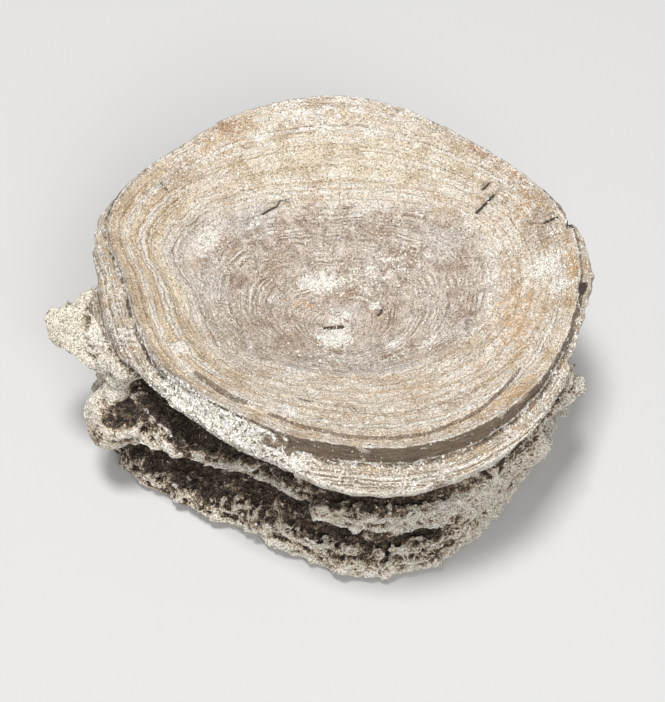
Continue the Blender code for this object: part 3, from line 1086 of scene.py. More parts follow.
# Stains and patches on the face: x, y, half length, half width, turn of the length from +X, strength
SPOTS = {
    "chalk": (
        (-0.8, -2.9, 1.9, 1.4, 0, 1.5),
        (-0.2, -0.4, 1.6, 1.2, 0, 0.7),
        (-15.0, 7.2, 2.0, 1.5, 60, 0.9),
        (2.8, 4.0, 4.5, 2.6, 30, 0.45),
        (8.0, 6.0, 4.0, 3.0, 20, 0.35),
        (-17.0, -8.8, 1.1, 0.7, -30, 1.4),
        (-5.4, -16.7, 0.9, 1.2, 60, 1.4),
        (22.6, 2.2, 1.6, 2.4, 0, 0.8),
        (0.5, -6.2, 5.0, 1.6, 0, 0.45),
        (-4.0, 23.6, 6.5, 1.5, 4, 0.75),
        (8.5, 23.0, 4.0, 1.2, -18, 0.6),
        (5.8, -4.5, 0.8, 0.5, 0, 1.2),
        (21.4, 1.5, 0.7, 0.7, 0, 1.3),
        (23.6, -0.9, 0.8, 0.8, 0, 1.3),
        (3.7, 0.8, 0.6, 0.5, 0, 1.2),
        (-2.2, 4.0, 2.2, 0.8, 10, 0.75),
        (9.5, -5.2, 4.5, 0.6, 22, 0.7),
        (-9.8, 10.2, 1.6, 0.6, 35, 0.7),
        (-3.0, 4.6, 3.4, 1.6, 10, 0.6),
        (-2.0, 13.6, 8.0, 2.2, 0, 0.35),
    ),
    "blue": (
        (-10.5, 10.4, 4.0, 2.2, 35, 1.0),
        (-14.2, 1.8, 1.6, 5.0, 0, 0.9),
        (10.5, 8.2, 5.0, 2.4, -25, 0.8),
        (1.0, 0.4, 1.8, 1.2, 0, 1.0),
        (13.0, -3.0, 2.4, 3.4, -20, 0.5),
        (2.0, -8.6, 8.0, 1.2, 0, 0.6),
    ),
    "ochre": (
        (18.8, -4.2, 2.6, 4.4, -12, 1.0),
        (17.0, -15.2, 4.2, 1.3, 38, 1.0),
        (25.0, 1.2, 0.9, 2.6, 0, 1.1),
        (-4.5, 1.5, 1.6, 1.6, 0, 0.6),
        (20.0, 10.0, 2.6, 2.2, 0, 0.6),
        (-13.5, 19.6, 5.0, 1.4, 40, 0.6),
        (6.0, -13.0, 8.0, 2.0, 8, 0.4),
    ),
    "rust": (
        (-14.0, 21.3, 2.4, 0.7, 30, 1.0),
        (-12.6, 20.7, 0.9, 0.5, 30, 1.2),
        (15.8, 17.2, 2.0, 0.6, -42, 1.1),
        (18.8, 14.6, 2.4, 0.7, -45, 0.6),
        (1.2, 2.8, 2.0, 1.3, 0, 0.7),
        (25.4, 1.0, 0.5, 1.6, 0, 0.8),
    ),
    "brown": (
        (0.4, 2.6, 2.4, 1.3, 0, 1.0),
        (-0.6, -0.7, 0.9, 0.6, 0, 1.3),
        (4.2, 9.6, 3.2, 1.6, -15, 0.8),
        (-6.5, 6.5, 3.0, 2.6, 45, 0.7),
        (-9.5, -2.0, 4.5, 3.4, 60, 0.55),
        (14.5, -6.0, 2.0, 4.0, -30, 0.5),
        (12.0, -14.5, 5.0, 1.6, 25, 0.6),
        (1.0, -15.4, 3.2, 0.9, 0, 0.8),
        (22.0, 7.0, 2.2, 4.5, 10, 1.0),
        (18.0, 12.0, 2.4, 2.6, -40, 0.5),
        (-19.0, 14.0, 5.0, 1.6, 50, 0.6),
        (-2.0, 24.6, 9.0, 0.6, 0, 0.5),
        (12.0, 20.5, 6.0, 1.0, -28, 0.5),
    ),
    "yellow": (
        (4.0, 17.5, 13.0, 3.4, -4, 0.9),
        (-10.0, 16.0, 6.0, 2.6, 35, 0.5),
    ),
}


def spotted(name, x, y):
    """How much each point lies in the spots of a name."""
    total = np.zeros_like(x)
    for middle_x, middle_y, length, width, turned, strength in SPOTS[name]:
        turned = math.radians(turned)
        along = (x - middle_x) * math.cos(turned) + (y - middle_y) * math.sin(turned)
        across = (y - middle_y) * math.cos(turned) - (x - middle_x) * math.sin(turned)
        total += strength * np.exp(-((along / length) ** 2) - (across / width) ** 2)
    return np.clip(total, 0.0, 1.5)


# Painted shade (strength above zero) and painted light (below zero) on parts of the side, partly the bone's
# own darker and paler tone: strength; first angle, last angle and fade; then each measure that limits it,
# with the values between which the shade comes in
PAINTED_SHADES = (
    (0.40, (220.0, 258.0, 8.0), (("level", 7.0, 8.5),)),
    (0.65, (200.0, 228.0, 6.0), (("level", 8.0, 6.5), ("level", 0.0, 1.0))),
    (0.50, (228.0, 300.0, 6.0), (("level", 8.0, 6.5), ("level", 1.4, 2.8))),
    (-0.25, (188.0, 203.5, 2.0), (("level", 9.5, 11.0), ("radius", 22.5, 24.0))),
    (-0.55, (190.0, 202.5, 2.0), (("level", 8.0, 10.0), ("radius", 23.0, 24.5))),
    (0.25, (196.0, 207.0, 3.0), (("level", 6.0, 7.0), ("radius", 25.5, 27.5))),
    (-0.20, (176.0, 199.0, 4.0), (("radius", 23.5, 25.5),)),
    (0.35, (198.0, 222.0, 6.0), (("level", 6.0, 4.5),)),
)


def painted_side_shading(angle, radius, level, rim, slab):
    """How much darker the side is at each point than the depth of its hollows alone makes it: painted shade
    under the lip and in the low recesses, painted light on the slab and the ridge, partly the bone's own
    tone.
    """
    measures = {"level": level, "radius": radius}
    # Painted shade under the lip's overhang, strongest along the front
    under_lip = ease(rim - 1.2 - level, -0.2, 0.6) * ease(level, 9.9, 11.0)
    shade = under_lip * (0.15 + 0.95 * sector(angle, 206.0, 298.0, 4.0))
    shade += under_lip * 0.45 * sector(angle, 222.0, 252.0, 6.0)
    shade += under_lip * 0.90 * sector(angle, 294.0, 320.0, 5.0) * ease(rim - 4.5 - level, 1.0, 0.0)
    # Painted light on the slab, painted shade in the low recess, painted light on the ridge's crest
    shade -= 0.60 * slab * (1.0 - under_lip)
    shade += 0.30 * ease(level, 7.4, 6.4) * ease(level, 2.4, 4.2) * (1.0 - 0.8 * slab)
    shade -= 0.25 * sector(angle, 262.0, 300.0, 6.0) * bell(level - 8.8, 1.6)
    for strength, arc, limits in PAINTED_SHADES:
        part = strength * sector(angle, *arc)
        for name, low, high in limits:
            part = part * ease(measures[name], low, high)
        shade += part
    return shade


def zones(points, facing):
    """Named masks and measures for each point of a mesh, which the materials read."""
    x, y, z = points.T
    angle = angle_of(x, y)
    radius = np.hypot(x, y)
    rings, inside, oval = ring_place(x, y)
    rim = at_angle(RIM, angle)
    gap = np.maximum(at_angle(LIP, angle) - at_angle(EDGE, angle), 0.6)
    envelope = at_angle(WALL[:, ZS > 1.0].max(1), angle)
    up = facing[:, 2]
    near_top = ease(z - read_map(CROWN, x, y), -1.3, -0.8)
    plate = near_top * ease(inside, -0.12, 0.08)
    by_face = ease(1.2 + inside, 0.0, 0.3)
    riser = ease(-inside, -0.25, 0.05) * by_face * (1.0 - ease(up, 0.35, 0.75)) * ease(z - rim, -0.3, 0.1)
    undercut = ease(-inside, -1.2, -0.8) * by_face * (1.0 - near_top) * ease(z - rim, -0.6, -0.2)
    riser = np.maximum(riser, undercut) * sector(angle, 250.0, 352.0, 5.0)
    on_ledge = np.maximum(near_top, ease(z - rim, -0.7, -0.3) * ease(-inside, -0.3, 0.0))
    ledge = on_ledge * ease(-inside, -0.05, 0.1) * (1.0 - riser) * ease(gap + 0.5 + inside, 0.0, 0.4)
    crust = sector(angle, 217.0, 256.0, 8.0) * ease(3.5 + inside, 0.0, 1.0)
    slab = sector(angle, *SLAB_ARC, 6.0)
    foot = 2.6 - z + 8.0 * ease(22.0 - radius, 0.0, 20.0)
    left = sector(angle, 150.0, 222.0, 14.0) * ease(inside, -4.0, 0.0)
    masks = {
        "ring": rings,
        "inside": inside,
        "oval": oval,
        "plate": plate,
        "riser": riser,
        "ledge": ledge,
        "crust": np.clip(crust, 0, 1) * ledge,
        # pit, dell and sunk measure the hollows, which the side material darkens as painted shade
        "pit": sample(PITS, points),
        "dell": sample(DELLS, points),
        "sunk": envelope - radius,
        # painted shade and painted light of the side, set by place
        "shade": painted_side_shading(angle, radius, z, rim, slab),
        "slab": slab * ease(z, 1.5, 3.0) * (1.0 - near_top),
        # slits, cracks and holes, darkened with painted shade
        "step": read_map(STEP_LINE, x, y) * plate,
        "slit": slit_mask(x, y) * near_top,
        "layered": sector(angle, 145.0, 222.0, 8.0) * ledge,
        "under": ease(-up, 0.2, 0.7) * ease(foot, 0.0, 1.0),
        "left": left * (1.0 - ease(inside, 8.5, 9.8)),
        "process": ease(-x, 26.8, 28.5) * ease(z, 12.5, 14.5),
    }
    for name in SPOTS:
        masks[name] = spotted(name, x, y) * near_top
    return masks


def step_line():
    """1 on the face's thin inner step along the front, 0 elsewhere, as a map; it is wider at its left."""
    inside = ring_place(GRID_X, GRID_Y)[1]
    coarse = top_noise(1.6, 2)
    wide = 0.17 + 0.16 * sector(GRID_A, 208.0, 240.0, 6.0)
    line = bell(step_inside(GRID_A) + 0.06 * coarse - inside - 0.04, wide)
    broken = ease(top_noise(3.0, 19), -1.3, -0.9)
    return line * sector(GRID_A, 212.0, 326.0, 8.0) * broken


STEP_LINE = step_line()
SOLID = (FIELD < 0.0).astype(np.float32)
CROWN = ZS[len(ZS) - 1 - np.argmax(SOLID[:, :, ::-1] > 0, axis=2)] * (SOLID.max(2) > 0)
# Share of bone round each cell, over a small and a wide cube; the side material paints shade where it is
# high
PITS = soften(SOLID, 3)
DELLS = soften(SOLID, 9)


def coat(thing, material):
    """Stores masks on an object's mesh, adds the material that reads them, and gives the masks back."""
    mesh = thing.data
    masks = zones(drum_points(mesh), flat_array(mesh.vertices, "normal", 3).astype(float))
    for name, values in masks.items():
        layer = mesh.attributes.new(name, "FLOAT", "POINT")
        layer.data.foreach_set("value", values.astype(np.float32))
    mesh.materials.append(material)
    return masks


# ---------------------------------------------------------------- materials

# Colour ramps: place, then red, green and blue as screen values
CREAM_RAMP = ((0.32, 222, 201, 172), (0.50, 239, 224, 203), (0.66, 250, 244, 233))
LINED_RAMP = ((0.34, 178, 152, 124), (0.44, 238, 222, 200), (0.56, 255, 251, 245))
GREY_LINED_RAMP = ((0.38, 158, 142, 126), (0.50, 206, 193, 180), (0.60, 244, 237, 229))
GREY_RAMP = ((0.38, 170, 154, 142), (0.58, 222, 209, 197))
HAIRLINE_RAMP = ((0.36, 146, 122, 96), (0.45, 244, 236, 226), (0.54, 255, 255, 255))
BLOTCH_RAMP = ((0.38, 224, 212, 198), (0.50, 252, 250, 248), (0.60, 255, 255, 255))
SPECK_RAMP = ((0.36, 176, 166, 154), (0.45, 240, 238, 234), (0.52, 255, 255, 255))
STRATA_RAMP = ((0.38, 104, 90, 76), (0.47, 174, 157, 136), (0.53, 216, 203, 186), (0.61, 250, 245, 237))
CRUMB_RAMP = ((0.38, 128, 114, 98), (0.47, 214, 203, 187), (0.55, 255, 251, 244))
GRAIN_RAMP = ((0.34, 112, 98, 84), (0.44, 218, 210, 200), (0.51, 255, 255, 255))
RISER_RAMP = ((0.30, 104, 90, 76), (0.70, 172, 152, 132))
CRUST_RAMP = ((0.38, 128, 116, 102), (0.46, 214, 206, 192), (0.56, 250, 246, 239))
CHALK_RAMP = ((0.30, 206, 192, 170), (0.48, 240, 233, 220), (0.62, 254, 252, 247))

# The side from its crests to the bottom of its hollows; the dark end carries painted shade as well as the
# bone's own colour
SIDE_RAMP = (
    (0.00, 255, 249, 236),
    (0.22, 244, 230, 209),
    (0.36, 200, 181, 157),
    (0.50, 142, 123, 103),
    (0.70, 88, 74, 61),
    (1.00, 46, 38, 32),
)

# Stripes along the face's left, from its edge inwards; the whole ramp spans ten millimetres
STRIPE_RAMP = (
    (0.000, 120, 98, 76),
    (0.020, 240, 226, 206),
    (0.100, 238, 218, 190),
    (0.180, 240, 222, 196),
    (0.200, 255, 252, 247),
    (0.228, 255, 252, 247),
    (0.245, 238, 220, 192),
    (0.350, 238, 218, 188),
    (0.372, 255, 252, 247),
    (0.400, 255, 252, 247),
    (0.420, 232, 216, 188),
    (0.500, 230, 212, 178),
    (0.590, 238, 224, 200),
    (0.650, 244, 238, 228),
    (0.740, 212, 202, 192),
    (0.860, 208, 198, 188),
    (0.905, 252, 248, 241),
    (0.950, 228, 216, 202),
)

# Colours of the spots on the face: name, colour, strength, and the levels between which it comes in
PAINTS = (
    ("yellow", (238, 226, 192), 0.35, 0.20, 0.90),
    ("blue", (218, 211, 207), 0.50, 0.25, 0.90),
    ("brown", (166, 146, 124), 0.60, 0.25, 0.90),
    ("ochre", (220, 178, 128), 0.60, 0.25, 0.90),
    ("rust", (176, 128, 94), 0.60, 0.35, 0.90),
    ("chalk", (250, 246, 238), 0.90, 0.50, 0.85),
)


# Depths of the bumps, in millimetres, and strengths of reflection
RING_BUMP = 0.25
CRUMB_BUMP = 0.42
GRAIN_BUMP = 0.55
CHALK_BUMP = 0.06
BONE_SHINE = 0.35
CHALK_SHINE = 0.3

# Single colours, as screen values
WHITE_HAIR = (255, 252, 246)  # hairlines along the left
OUTLINE_WHITE = (246, 240, 232)  # line round the oval
DUST_WHITE = (253, 250, 243)  # dust over everything
PIT_BROWN = (132, 108, 84)  # small pits
STREAK_BROWN = (88, 76, 66)  # dark streaks of the ledge
LEDGE_TAN = (206, 176, 136)  # tan patches of the ledge
CRUMB_BROWN = (126, 110, 93)  # crumbs in the hollows
STRAND_TAN = (160, 144, 124)  # strands in the hollows
PROCESS_CREAM = (206, 196, 160)  # the left process
STEP_BROWN = (140, 124, 106)  # the face's thin inner step
# Painted shade in slits, cracks and holes
SLIT_PAINTED_SHADE = (78, 66, 56)  # slits and cracks


def tint(red, green, blue):
    """Colour from screen values of 0 to 255."""

    def linear(value):
        part = value / 255.0
        return part / 12.92 if part <= 0.04045 else ((part + 0.055) / 1.055) ** 2.4

    return (linear(red), linear(green), linear(blue), 1.0)


class Graph:
    """Short calls for building a material's nodes; nearly every call gives back a socket."""

    def __init__(self, name):
        self.material = bpy.data.materials.new(name)
        self.material.use_nodes = True
        self.tree = self.material.node_tree
        self.shader = self.tree.nodes["Principled BSDF"]
        coordinates = self.tree.nodes.new("ShaderNodeTexCoord")
        scaled = self.tree.nodes.new("ShaderNodeVectorMath")
        scaled.operation = "SCALE"
        self.put(1.0 / MM, scaled.inputs["Scale"])
        self.put(coordinates.outputs["Object"], scaled.inputs[0])
        self.place = scaled.outputs[0]

    def put(self, value, socket):
        """Links a socket, or sets a plain value."""
        if isinstance(value, bpy.types.NodeSocket):
            self.tree.links.new(value, socket)
        else:
            socket.default_value = value

    def fill(self, node, values):
        """Puts values into the inputs of a node, by name, and gives back the node."""
        for name, value in values.items():
            self.put(value, node.inputs[name])
        return node

    def finish(self, colour, rough, shine, normal):
        """Ends the material and gives it back."""
        ends = {"Base Color": colour, "Roughness": rough, "Specular IOR Level": shine, "Normal": normal}
        self.fill(self.shader, ends)
        return self.material

    def mask(self, name):
        """A float attribute of the mesh."""
        node = self.tree.nodes.new("ShaderNodeAttribute")
        node.attribute_name = name
        return node.outputs["Fac"]

    def math(self, operation, *values):
        """One sum, of up to three values."""
        node = self.tree.nodes.new("ShaderNodeMath")
        node.operation = operation
        for value, socket in zip((*values, 0.0, 0.0), node.inputs):
            self.put(value, socket)
        return node.outputs[0]

    def add(self, first, second):
        """Sum of two values."""
        return self.math("ADD", first, second)

    def times(self, first, *others):
        """Product of values."""
        for other in others:
            first = self.math("MULTIPLY", first, other)
        return first

    def fit(self, value, scale, shift):
        """A value times a scale, with a shift added."""
        return self.math("MULTIPLY_ADD", value, scale, shift)

    def off_middle(self, value):
        """How far a value is from a half."""
        return self.math("ABSOLUTE", self.math("SUBTRACT", value, 0.5))

    def shifted(self, shift, scale):
        """Place in the bone, in millimetres, shifted and scaled."""
        node = self.tree.nodes.new("ShaderNodeMapping")
        return self.fill(node, {"Vector": self.place, "Location": shift, "Scale": scale}).outputs[0]

    def noise(self, size, detail=2.0, rough=0.5, shift=0.0, stretch=None):
        """Noise in space whose grains are about size millimetres across, from 0 to 1."""
        place = self.place
        if shift or stretch:
            place = self.shifted((shift, shift * 0.7, shift * 1.3), stretch or (1.0, 1.0, 1.0))
        node = self.tree.nodes.new("ShaderNodeTexNoise")
        values = {"Vector": place, "Scale": 1.0 / size, "Detail": detail, "Roughness": rough}
        return self.fill(node, values).outputs["Fac"]

    def lines(self, measure, size, detail=2.0, rough=0.5):
        """Noise along one measure, from 0 to 1."""
        node = self.tree.nodes.new("ShaderNodeTexNoise")
        node.noise_dimensions = "1D"
        values = {"W": measure, "Scale": 1.0 / size, "Detail": detail, "Roughness": rough}
        return self.fill(node, values).outputs["Fac"]

    def cells(self, size, shift):
        """Distance to the nearest of scattered points about size millimetres apart, measured in sizes."""
        node = self.tree.nodes.new("ShaderNodeTexVoronoi")
        place = self.shifted((shift, shift, shift), (1.0, 1.0, 1.0))
        return self.fill(node, {"Vector": place, "Scale": 1.0 / size}).outputs["Distance"]

    def ease(self, value, low, high, strength=1.0):
        """0 at low and strength at high, smooth between; low may be above high."""
        node = self.tree.nodes.new("ShaderNodeMapRange")
        node.interpolation_type = "SMOOTHSTEP"
        rising = low <= high
        values = {
            "Value": value,
            "From Min": min(low, high),
            "From Max": max(low, high),
            "To Min": 0.0 if rising else 1.0,
            "To Max": 1.0 if rising else 0.0,
        }
        part = self.fill(node, values).outputs["Result"]
        return part if strength == 1.0 else self.times(part, strength)

    def ramp(self, value, stops):
        """Colour ramp through stops, each a place and a colour."""
        node = self.tree.nodes.new("ShaderNodeValToRGB")
        elements = node.color_ramp.elements
        while len(elements) < len(stops):
            elements.new(0.5)
        for element, (place, *colour) in zip(elements, stops):
            element.position = place
            element.color = tint(*colour)
        return self.fill(node, {"Fac": value}).outputs["Color"]

    def mix(self, part, first, second, blend="MIX"):
        """Blends two colours, each a socket or three screen values."""
        node = self.tree.nodes.new("ShaderNodeMix")
        node.data_type = "RGBA"
        node.blend_type = blend
        self.put(part, node.inputs["Factor"])
        ends = [socket for socket in node.inputs if socket.type == "RGBA"]
        for value, socket in zip((first, second), ends):
            self.put(tint(*value) if isinstance(value, tuple) else value, socket)
        return [socket for socket in node.outputs if socket.type == "RGBA"][0]

    def bump(self, height, depth, below=None):
        """Bump of a depth in millimetres for a height of 0 to 1, on top of another bump."""
        values = {"Distance": depth * MM, "Height": height}
        if below is not None:
            values["Normal"] = below
        return self.fill(self.tree.nodes.new("ShaderNodeBump"), values).outputs["Normal"]


def striped_colour(g):
    """Tan and white stripes along the face's left."""
    striped = g.fit(g.noise(1.5, 3.0, shift=9.0), 0.9, g.mask("inside"))
    hairs = g.lines(striped, 0.30, 3.0, 0.75)
    stripes = g.ramp(g.fit(striped, 0.1, -0.045), STRIPE_RAMP)
    stripes = g.mix(0.8, stripes, g.ramp(hairs, HAIRLINE_RAMP), "MULTIPLY")
    return g.mix(g.ease(hairs, 0.57, 0.61, 0.8), stripes, WHITE_HAIR)


def plate_colour(g):
    """The cupped face: cream growth rings round a grey oval, with stripes along the left."""
    wobble = g.fit(g.noise(1.4, 3.0), 0.6, g.mask("ring"))
    fine = g.lines(wobble, 0.30, 3.0, 0.7)
    cream = g.ramp(g.lines(wobble, 1.6, 2.0, 0.6), CREAM_RAMP)
    patchy = g.noise(2.2, 4.0, 0.65, shift=7.0)
    outer = g.mix(g.ease(patchy, 0.36, 0.58, 0.85), cream, g.ramp(fine, LINED_RAMP))
    plain_grey = g.ramp(g.noise(1.1, 4.0, 0.7, shift=17.0), GREY_RAMP)
    cloudy = g.noise(2.6, 4.0, 0.6, shift=3.0)
    grey = g.mix(g.ease(cloudy, 0.40, 0.56), g.ramp(fine, GREY_LINED_RAMP), plain_grey)
    oval = g.fit(g.noise(1.8, 4.0, 0.65, shift=11.0), 0.30, g.mask("oval"))
    colour = g.mix(g.ease(oval, 1.24, 1.06), outer, grey)
    outline = g.times(g.ease(oval, 1.08, 1.15), g.ease(oval, 1.22, 1.16), 0.5)
    colour = g.mix(outline, colour, OUTLINE_WHITE)
    colour = g.mix(g.times(g.mask("left"), 0.85), colour, striped_colour(g))
    blotches = g.ramp(g.noise(3.6, 4.0, 0.62, shift=29.0), BLOTCH_RAMP)
    return g.mix(0.9, colour, blotches, "MULTIPLY")


def spot_colours(g, colour):
    """Stains and patches over the face."""
    ragged = g.noise(0.8, 5.0, 0.72, shift=21.0)
    for name, paint, strength, low, high in PAINTS:
        level = g.add(g.mask(name), g.fit(ragged, 4.0, -2.0))
        colour = g.mix(g.ease(level, low, high, strength), colour, paint)
    return colour


def speckled(g, colour, grains):
    """White dust, dark pits and a fine unevenness over everything."""
    specks = g.noise(0.17, 2.0, 0.6, shift=43.0)
    clusters = g.ease(g.noise(2.4, 3.0, 0.6, shift=5.0), 0.36, 0.64)
    dust = g.times(g.ease(grains, 0.56, 0.66), g.fit(clusters, 0.8, 0.1))
    colour = g.mix(dust, colour, DUST_WHITE)
    colour = g.mix(g.ease(specks, 0.38, 0.30, 0.6), colour, PIT_BROWN)
    return g.mix(0.85, colour, g.ramp(specks, SPECK_RAMP), "MULTIPLY")


def ledge_colour(g, crumbs):
    """The band outside the face: strata lines, with white crumbs over them."""
    outside = g.fit(g.noise(0.9, 3.0, shift=15.0), 0.45, g.mask("inside"))
    colour = g.ramp(g.lines(outside, 0.50, 3.0, 0.7), STRATA_RAMP)
    streaks = g.ease(g.lines(outside, 0.42, 2.0, 0.6), 0.46, 0.41)
    streaks = g.times(streaks, g.ease(g.noise(1.8, 3.0, shift=65.0), 0.40, 0.50))
    colour = g.mix(g.times(streaks, g.mask("layered"), 0.85), colour, STREAK_BROWN)
    tan = g.noise(2.4, 3.0, 0.6, stretch=(0.5, 1.0, 1.0), shift=25.0)
    colour = g.mix(g.ease(tan, 0.50, 0.60, 0.4), colour, LEDGE_TAN)
    crumbly = g.noise(1.3, 3.0, 0.6, shift=35.0)
    return g.mix(g.ease(crumbly, 0.44, 0.62, 0.8), colour, g.ramp(crumbs, CRUMB_RAMP))


def side_depth(g, crumbs, wiry):
    """How dark the side is: painted shade in its deep places, dirt, the gaps between strands, and its
    parts' painted shade and light.
    """
    crevices = g.off_middle(g.noise(0.9, 3.0, 0.65, shift=57.0))
    strands = g.fit(g.ease(wiry, 0.045, 0.0), -0.6, 0.2)
    strands = g.fit(g.ease(crevices, 0.035, 0.0), 0.7, strands)
    dirt = g.fit(g.noise(2.6, 4.0, 0.62, shift=51.0), 3.2, -1.6)
    dirt = g.add(dirt, g.fit(crumbs, -2.2, 1.05))
    dirt = g.times(dirt, g.fit(g.mask("slab"), -0.5, 1.0))
    # Painted shade in the hollows: darker where more bone lies round a point
    hollows = g.add(g.fit(g.mask("pit"), 2.6, -1.3), g.fit(g.mask("dell"), 4.4, -2.2))
    depth = g.add(hollows, g.add(dirt, strands))
    cells = g.cells(1.25, 3.0)
    rounds = g.times(g.ease(cells, 0.24, 0.32), g.ease(cells, 0.44, 0.36), g.mask("slab"))
    depth = g.fit(rounds, 0.8, depth)
    depth = g.fit(g.mask("process"), -0.75, depth)
    # Painted shade deep inside the side's outer envelope
    depth = g.fit(g.ease(g.mask("sunk"), 1.2, 4.5), 0.35, depth)
    # Painted shade and painted light of the side's parts, set by place
    return g.add(depth, g.mask("shade"))


def side_colour(g, crumbs, grains):
    """The broken bone of the side: pale on its crests, nearly black with painted shade in its hollows."""
    wiry = g.off_middle(g.noise(0.7, 3.0, 0.6, shift=55.0))
    colour = g.ramp(g.ease(side_depth(g, crumbs, wiry), -0.90, 1.80), SIDE_RAMP)
    colour = g.mix(g.ease(crumbs, 0.48, 0.60, 0.5), colour, CRUMB_BROWN, "LIGHTEN")
    colour = g.mix(g.ease(wiry, 0.035, 0.0, 0.55), colour, STRAND_TAN, "LIGHTEN")
    colour = g.mix(g.times(g.mask("process"), 0.3), colour, PROCESS_CREAM)
    return g.mix(0.7, colour, g.ramp(grains, GRAIN_RAMP), "MULTIPLY")


def bone_colour(g, crumbs, grains, side):
    """Colour of the whole bone, one part laid over another."""
    riser = g.ramp(g.noise(0.8, 4.0, 0.65, stretch=(0.4, 0.4, 2.5)), RISER_RAMP)
    step = g.ease(g.mask("step"), 0.45, 0.62, 0.85)
    colour = g.mix(step, spot_colours(g, plate_colour(g)), STEP_BROWN)
    colour = speckled(g, colour, grains)
    colour = g.mix(g.ease(g.mask("riser"), 0.35, 0.65), colour, riser)
    ledge = speckled(g, ledge_colour(g, crumbs), grains)
    colour = g.mix(g.ease(g.mask("ledge"), 0.3, 0.7), colour, ledge)
    colour = g.mix(g.ease(g.mask("crust"), 0.3, 0.7), colour, g.ramp(crumbs, CRUST_RAMP))
    # Painted shade in the slits, cracks and holes
    colour = g.mix(g.ease(g.mask("slit"), 0.25, 0.75), colour, SLIT_PAINTED_SHADE)
    colour = g.mix(side, colour, side_colour(g, crumbs, grains))
    lower_cup = speckled(g, plate_colour(g), grains)
    return g.mix(g.ease(g.mask("under"), 0.3, 0.8), colour, lower_cup)


def bone_material():
    """Finish of the bone and its grit and fibres."""
    g = Graph("fossil_bone")
    crumbs = g.noise(0.42, 3.0, 0.68, shift=31.0)
    grains = g.noise(0.24, 2.0, 0.65, shift=41.0)
    upper = g.math("MAXIMUM", g.mask("plate"), g.math("MAXIMUM", g.mask("ledge"), g.mask("riser")))
    side = g.ease(upper, 0.6, 0.3)
    rough = g.math("SUBTRACT", g.fit(crumbs, 0.35, 0.58), g.times(g.mask("riser"), 0.25))
    outside_oval = g.fit(g.ease(g.mask("oval"), 0.9, 1.15), 0.6, 0.4)
    rings = g.times(g.lines(g.mask("ring"), 0.34, 3.0, 0.7), g.mask("plate"), outside_oval)
    normal = g.bump(crumbs, CRUMB_BUMP, g.bump(rings, RING_BUMP))
    normal = g.bump(g.times(grains, g.fit(side, 0.2, 0.8)), GRAIN_BUMP, normal)
    return g.finish(bone_colour(g, crumbs, grains, side), rough, BONE_SHINE, normal)


def chalk_material():
    """White, matt crumbs of chalk."""
    g = Graph("chalk_crumbs")
    crumbs = g.noise(0.5, 3.0, 0.6, shift=61.0)
    rough = g.fit(crumbs, 0.2, 0.75)
    normal = g.bump(g.noise(0.12, 2.0), CHALK_BUMP)
    return g.finish(g.ramp(crumbs, CHALK_RAMP), rough, CHALK_SHINE, normal)


# ---------------------------------------------------------------- crumbs and fibres

# Crumbs: dents and squash are factors of the size, drawn between two limits
CRUMB_DENTS = (0.5, 1.35)
CRUMB_SQUASH = ((0.8, 0.6, 0.45), (1.3, 1.0, 0.8))
CRUMB_FLATTENED = 0.45  # share of a crumb's height that is taken away
CRUMB_LIFT = 0.05  # height of a crumb's middle over the skin, as a share of its size
CHALK_SIZE = 0.08
CHALK_SPREAD = 0.35  # of the sizes, as the logarithm's deviation
CHALK_SEED = 71
GRIT_DENSITY = 2.5  # crumbs to a square millimetre
GRIT_SIZE = 0.16
GRIT_SPREAD = 0.4
GRIT_SEED = 81

# Fibres
FIBRE_DENSITY = 0.9
FIBRE_PACE = 0.34  # length of a straight piece
FIBRE_PIECES = (5, 10)
FIBRE_THICK = (0.07, 0.16)
FIBRE_TAPER = (0.12, 0.88)  # part of half a sine wave that the thickness follows
FIBRE_SIDES = 5
FIBRE_TILT = 0.45  # deviation of the first heading, in radians
FIBRE_WANDER = 0.25  # deviation of each turn, in radians
FIBRE_LIFT = 0.02  # of the path over the skin
FIBRE_SEED = 91


class Skin:
    """The bone's triangles, for strewing things over them."""

    def __init__(self, mesh, masks):
        points = drum_points(mesh)
        corners = flat_array(mesh.loops, "vertex_index", 3, np.int32)
        self.corners = points[corners]
        self.middles = self.corners.mean(1)
        self.normals = flat_array(mesh.polygons, "normal", 3).astype(float)
        self.areas = flat_array(mesh.polygons, "area", 1) / MM**2
        self.masks = {name: values[corners].mean(1) for name, values in masks.items()}

    def strew(self, density, seed):
        """Random places on the skin, as triangle numbers and points; density is their number to a mm2."""
        draw = np.random.default_rng(seed)
        counts = draw.poisson(np.maximum(density, 0.0) * self.areas)
        chosen = np.repeat(np.arange(len(counts)), counts)
        u, v = draw.random((2, len(chosen)))
        over = u + v > 1.0
        u, v = np.where(over, 1.0 - u, u), np.where(over, 1.0 - v, v)
        a, b, c = (self.corners[chosen, k] for k in range(3))
        return chosen, a + (b - a) * u[:, None] + (c - a) * v[:, None]


def icosahedron():
    """Corners and faces of a regular twenty-sided solid of radius 1."""
    golden = (1.0 + math.sqrt(5.0)) / 2.0
    corners = []
    for a in (-1.0, 1.0):
        for b in (-golden, golden):
            corners += [(0.0, a, b), (a, b, 0.0), (b, 0.0, a)]
    corners = np.array(corners) / math.hypot(1.0, golden)
    side = min(np.linalg.norm(corners[0] - corners[k]) for k in range(1, 12)) * 1.01
    faces = []
    for a, b, c in itertools.combinations(range(12), 3):
        ends = corners[[a, b, c]]
        if max(np.linalg.norm(ends[k] - ends[k - 1]) for k in range(3)) < side:
            outward = np.cross(ends[1] - ends[0], ends[2] - ends[0]) @ ends.sum(0) > 0
            faces.append((a, b, c) if outward else (a, c, b))
    return corners, np.array(faces)


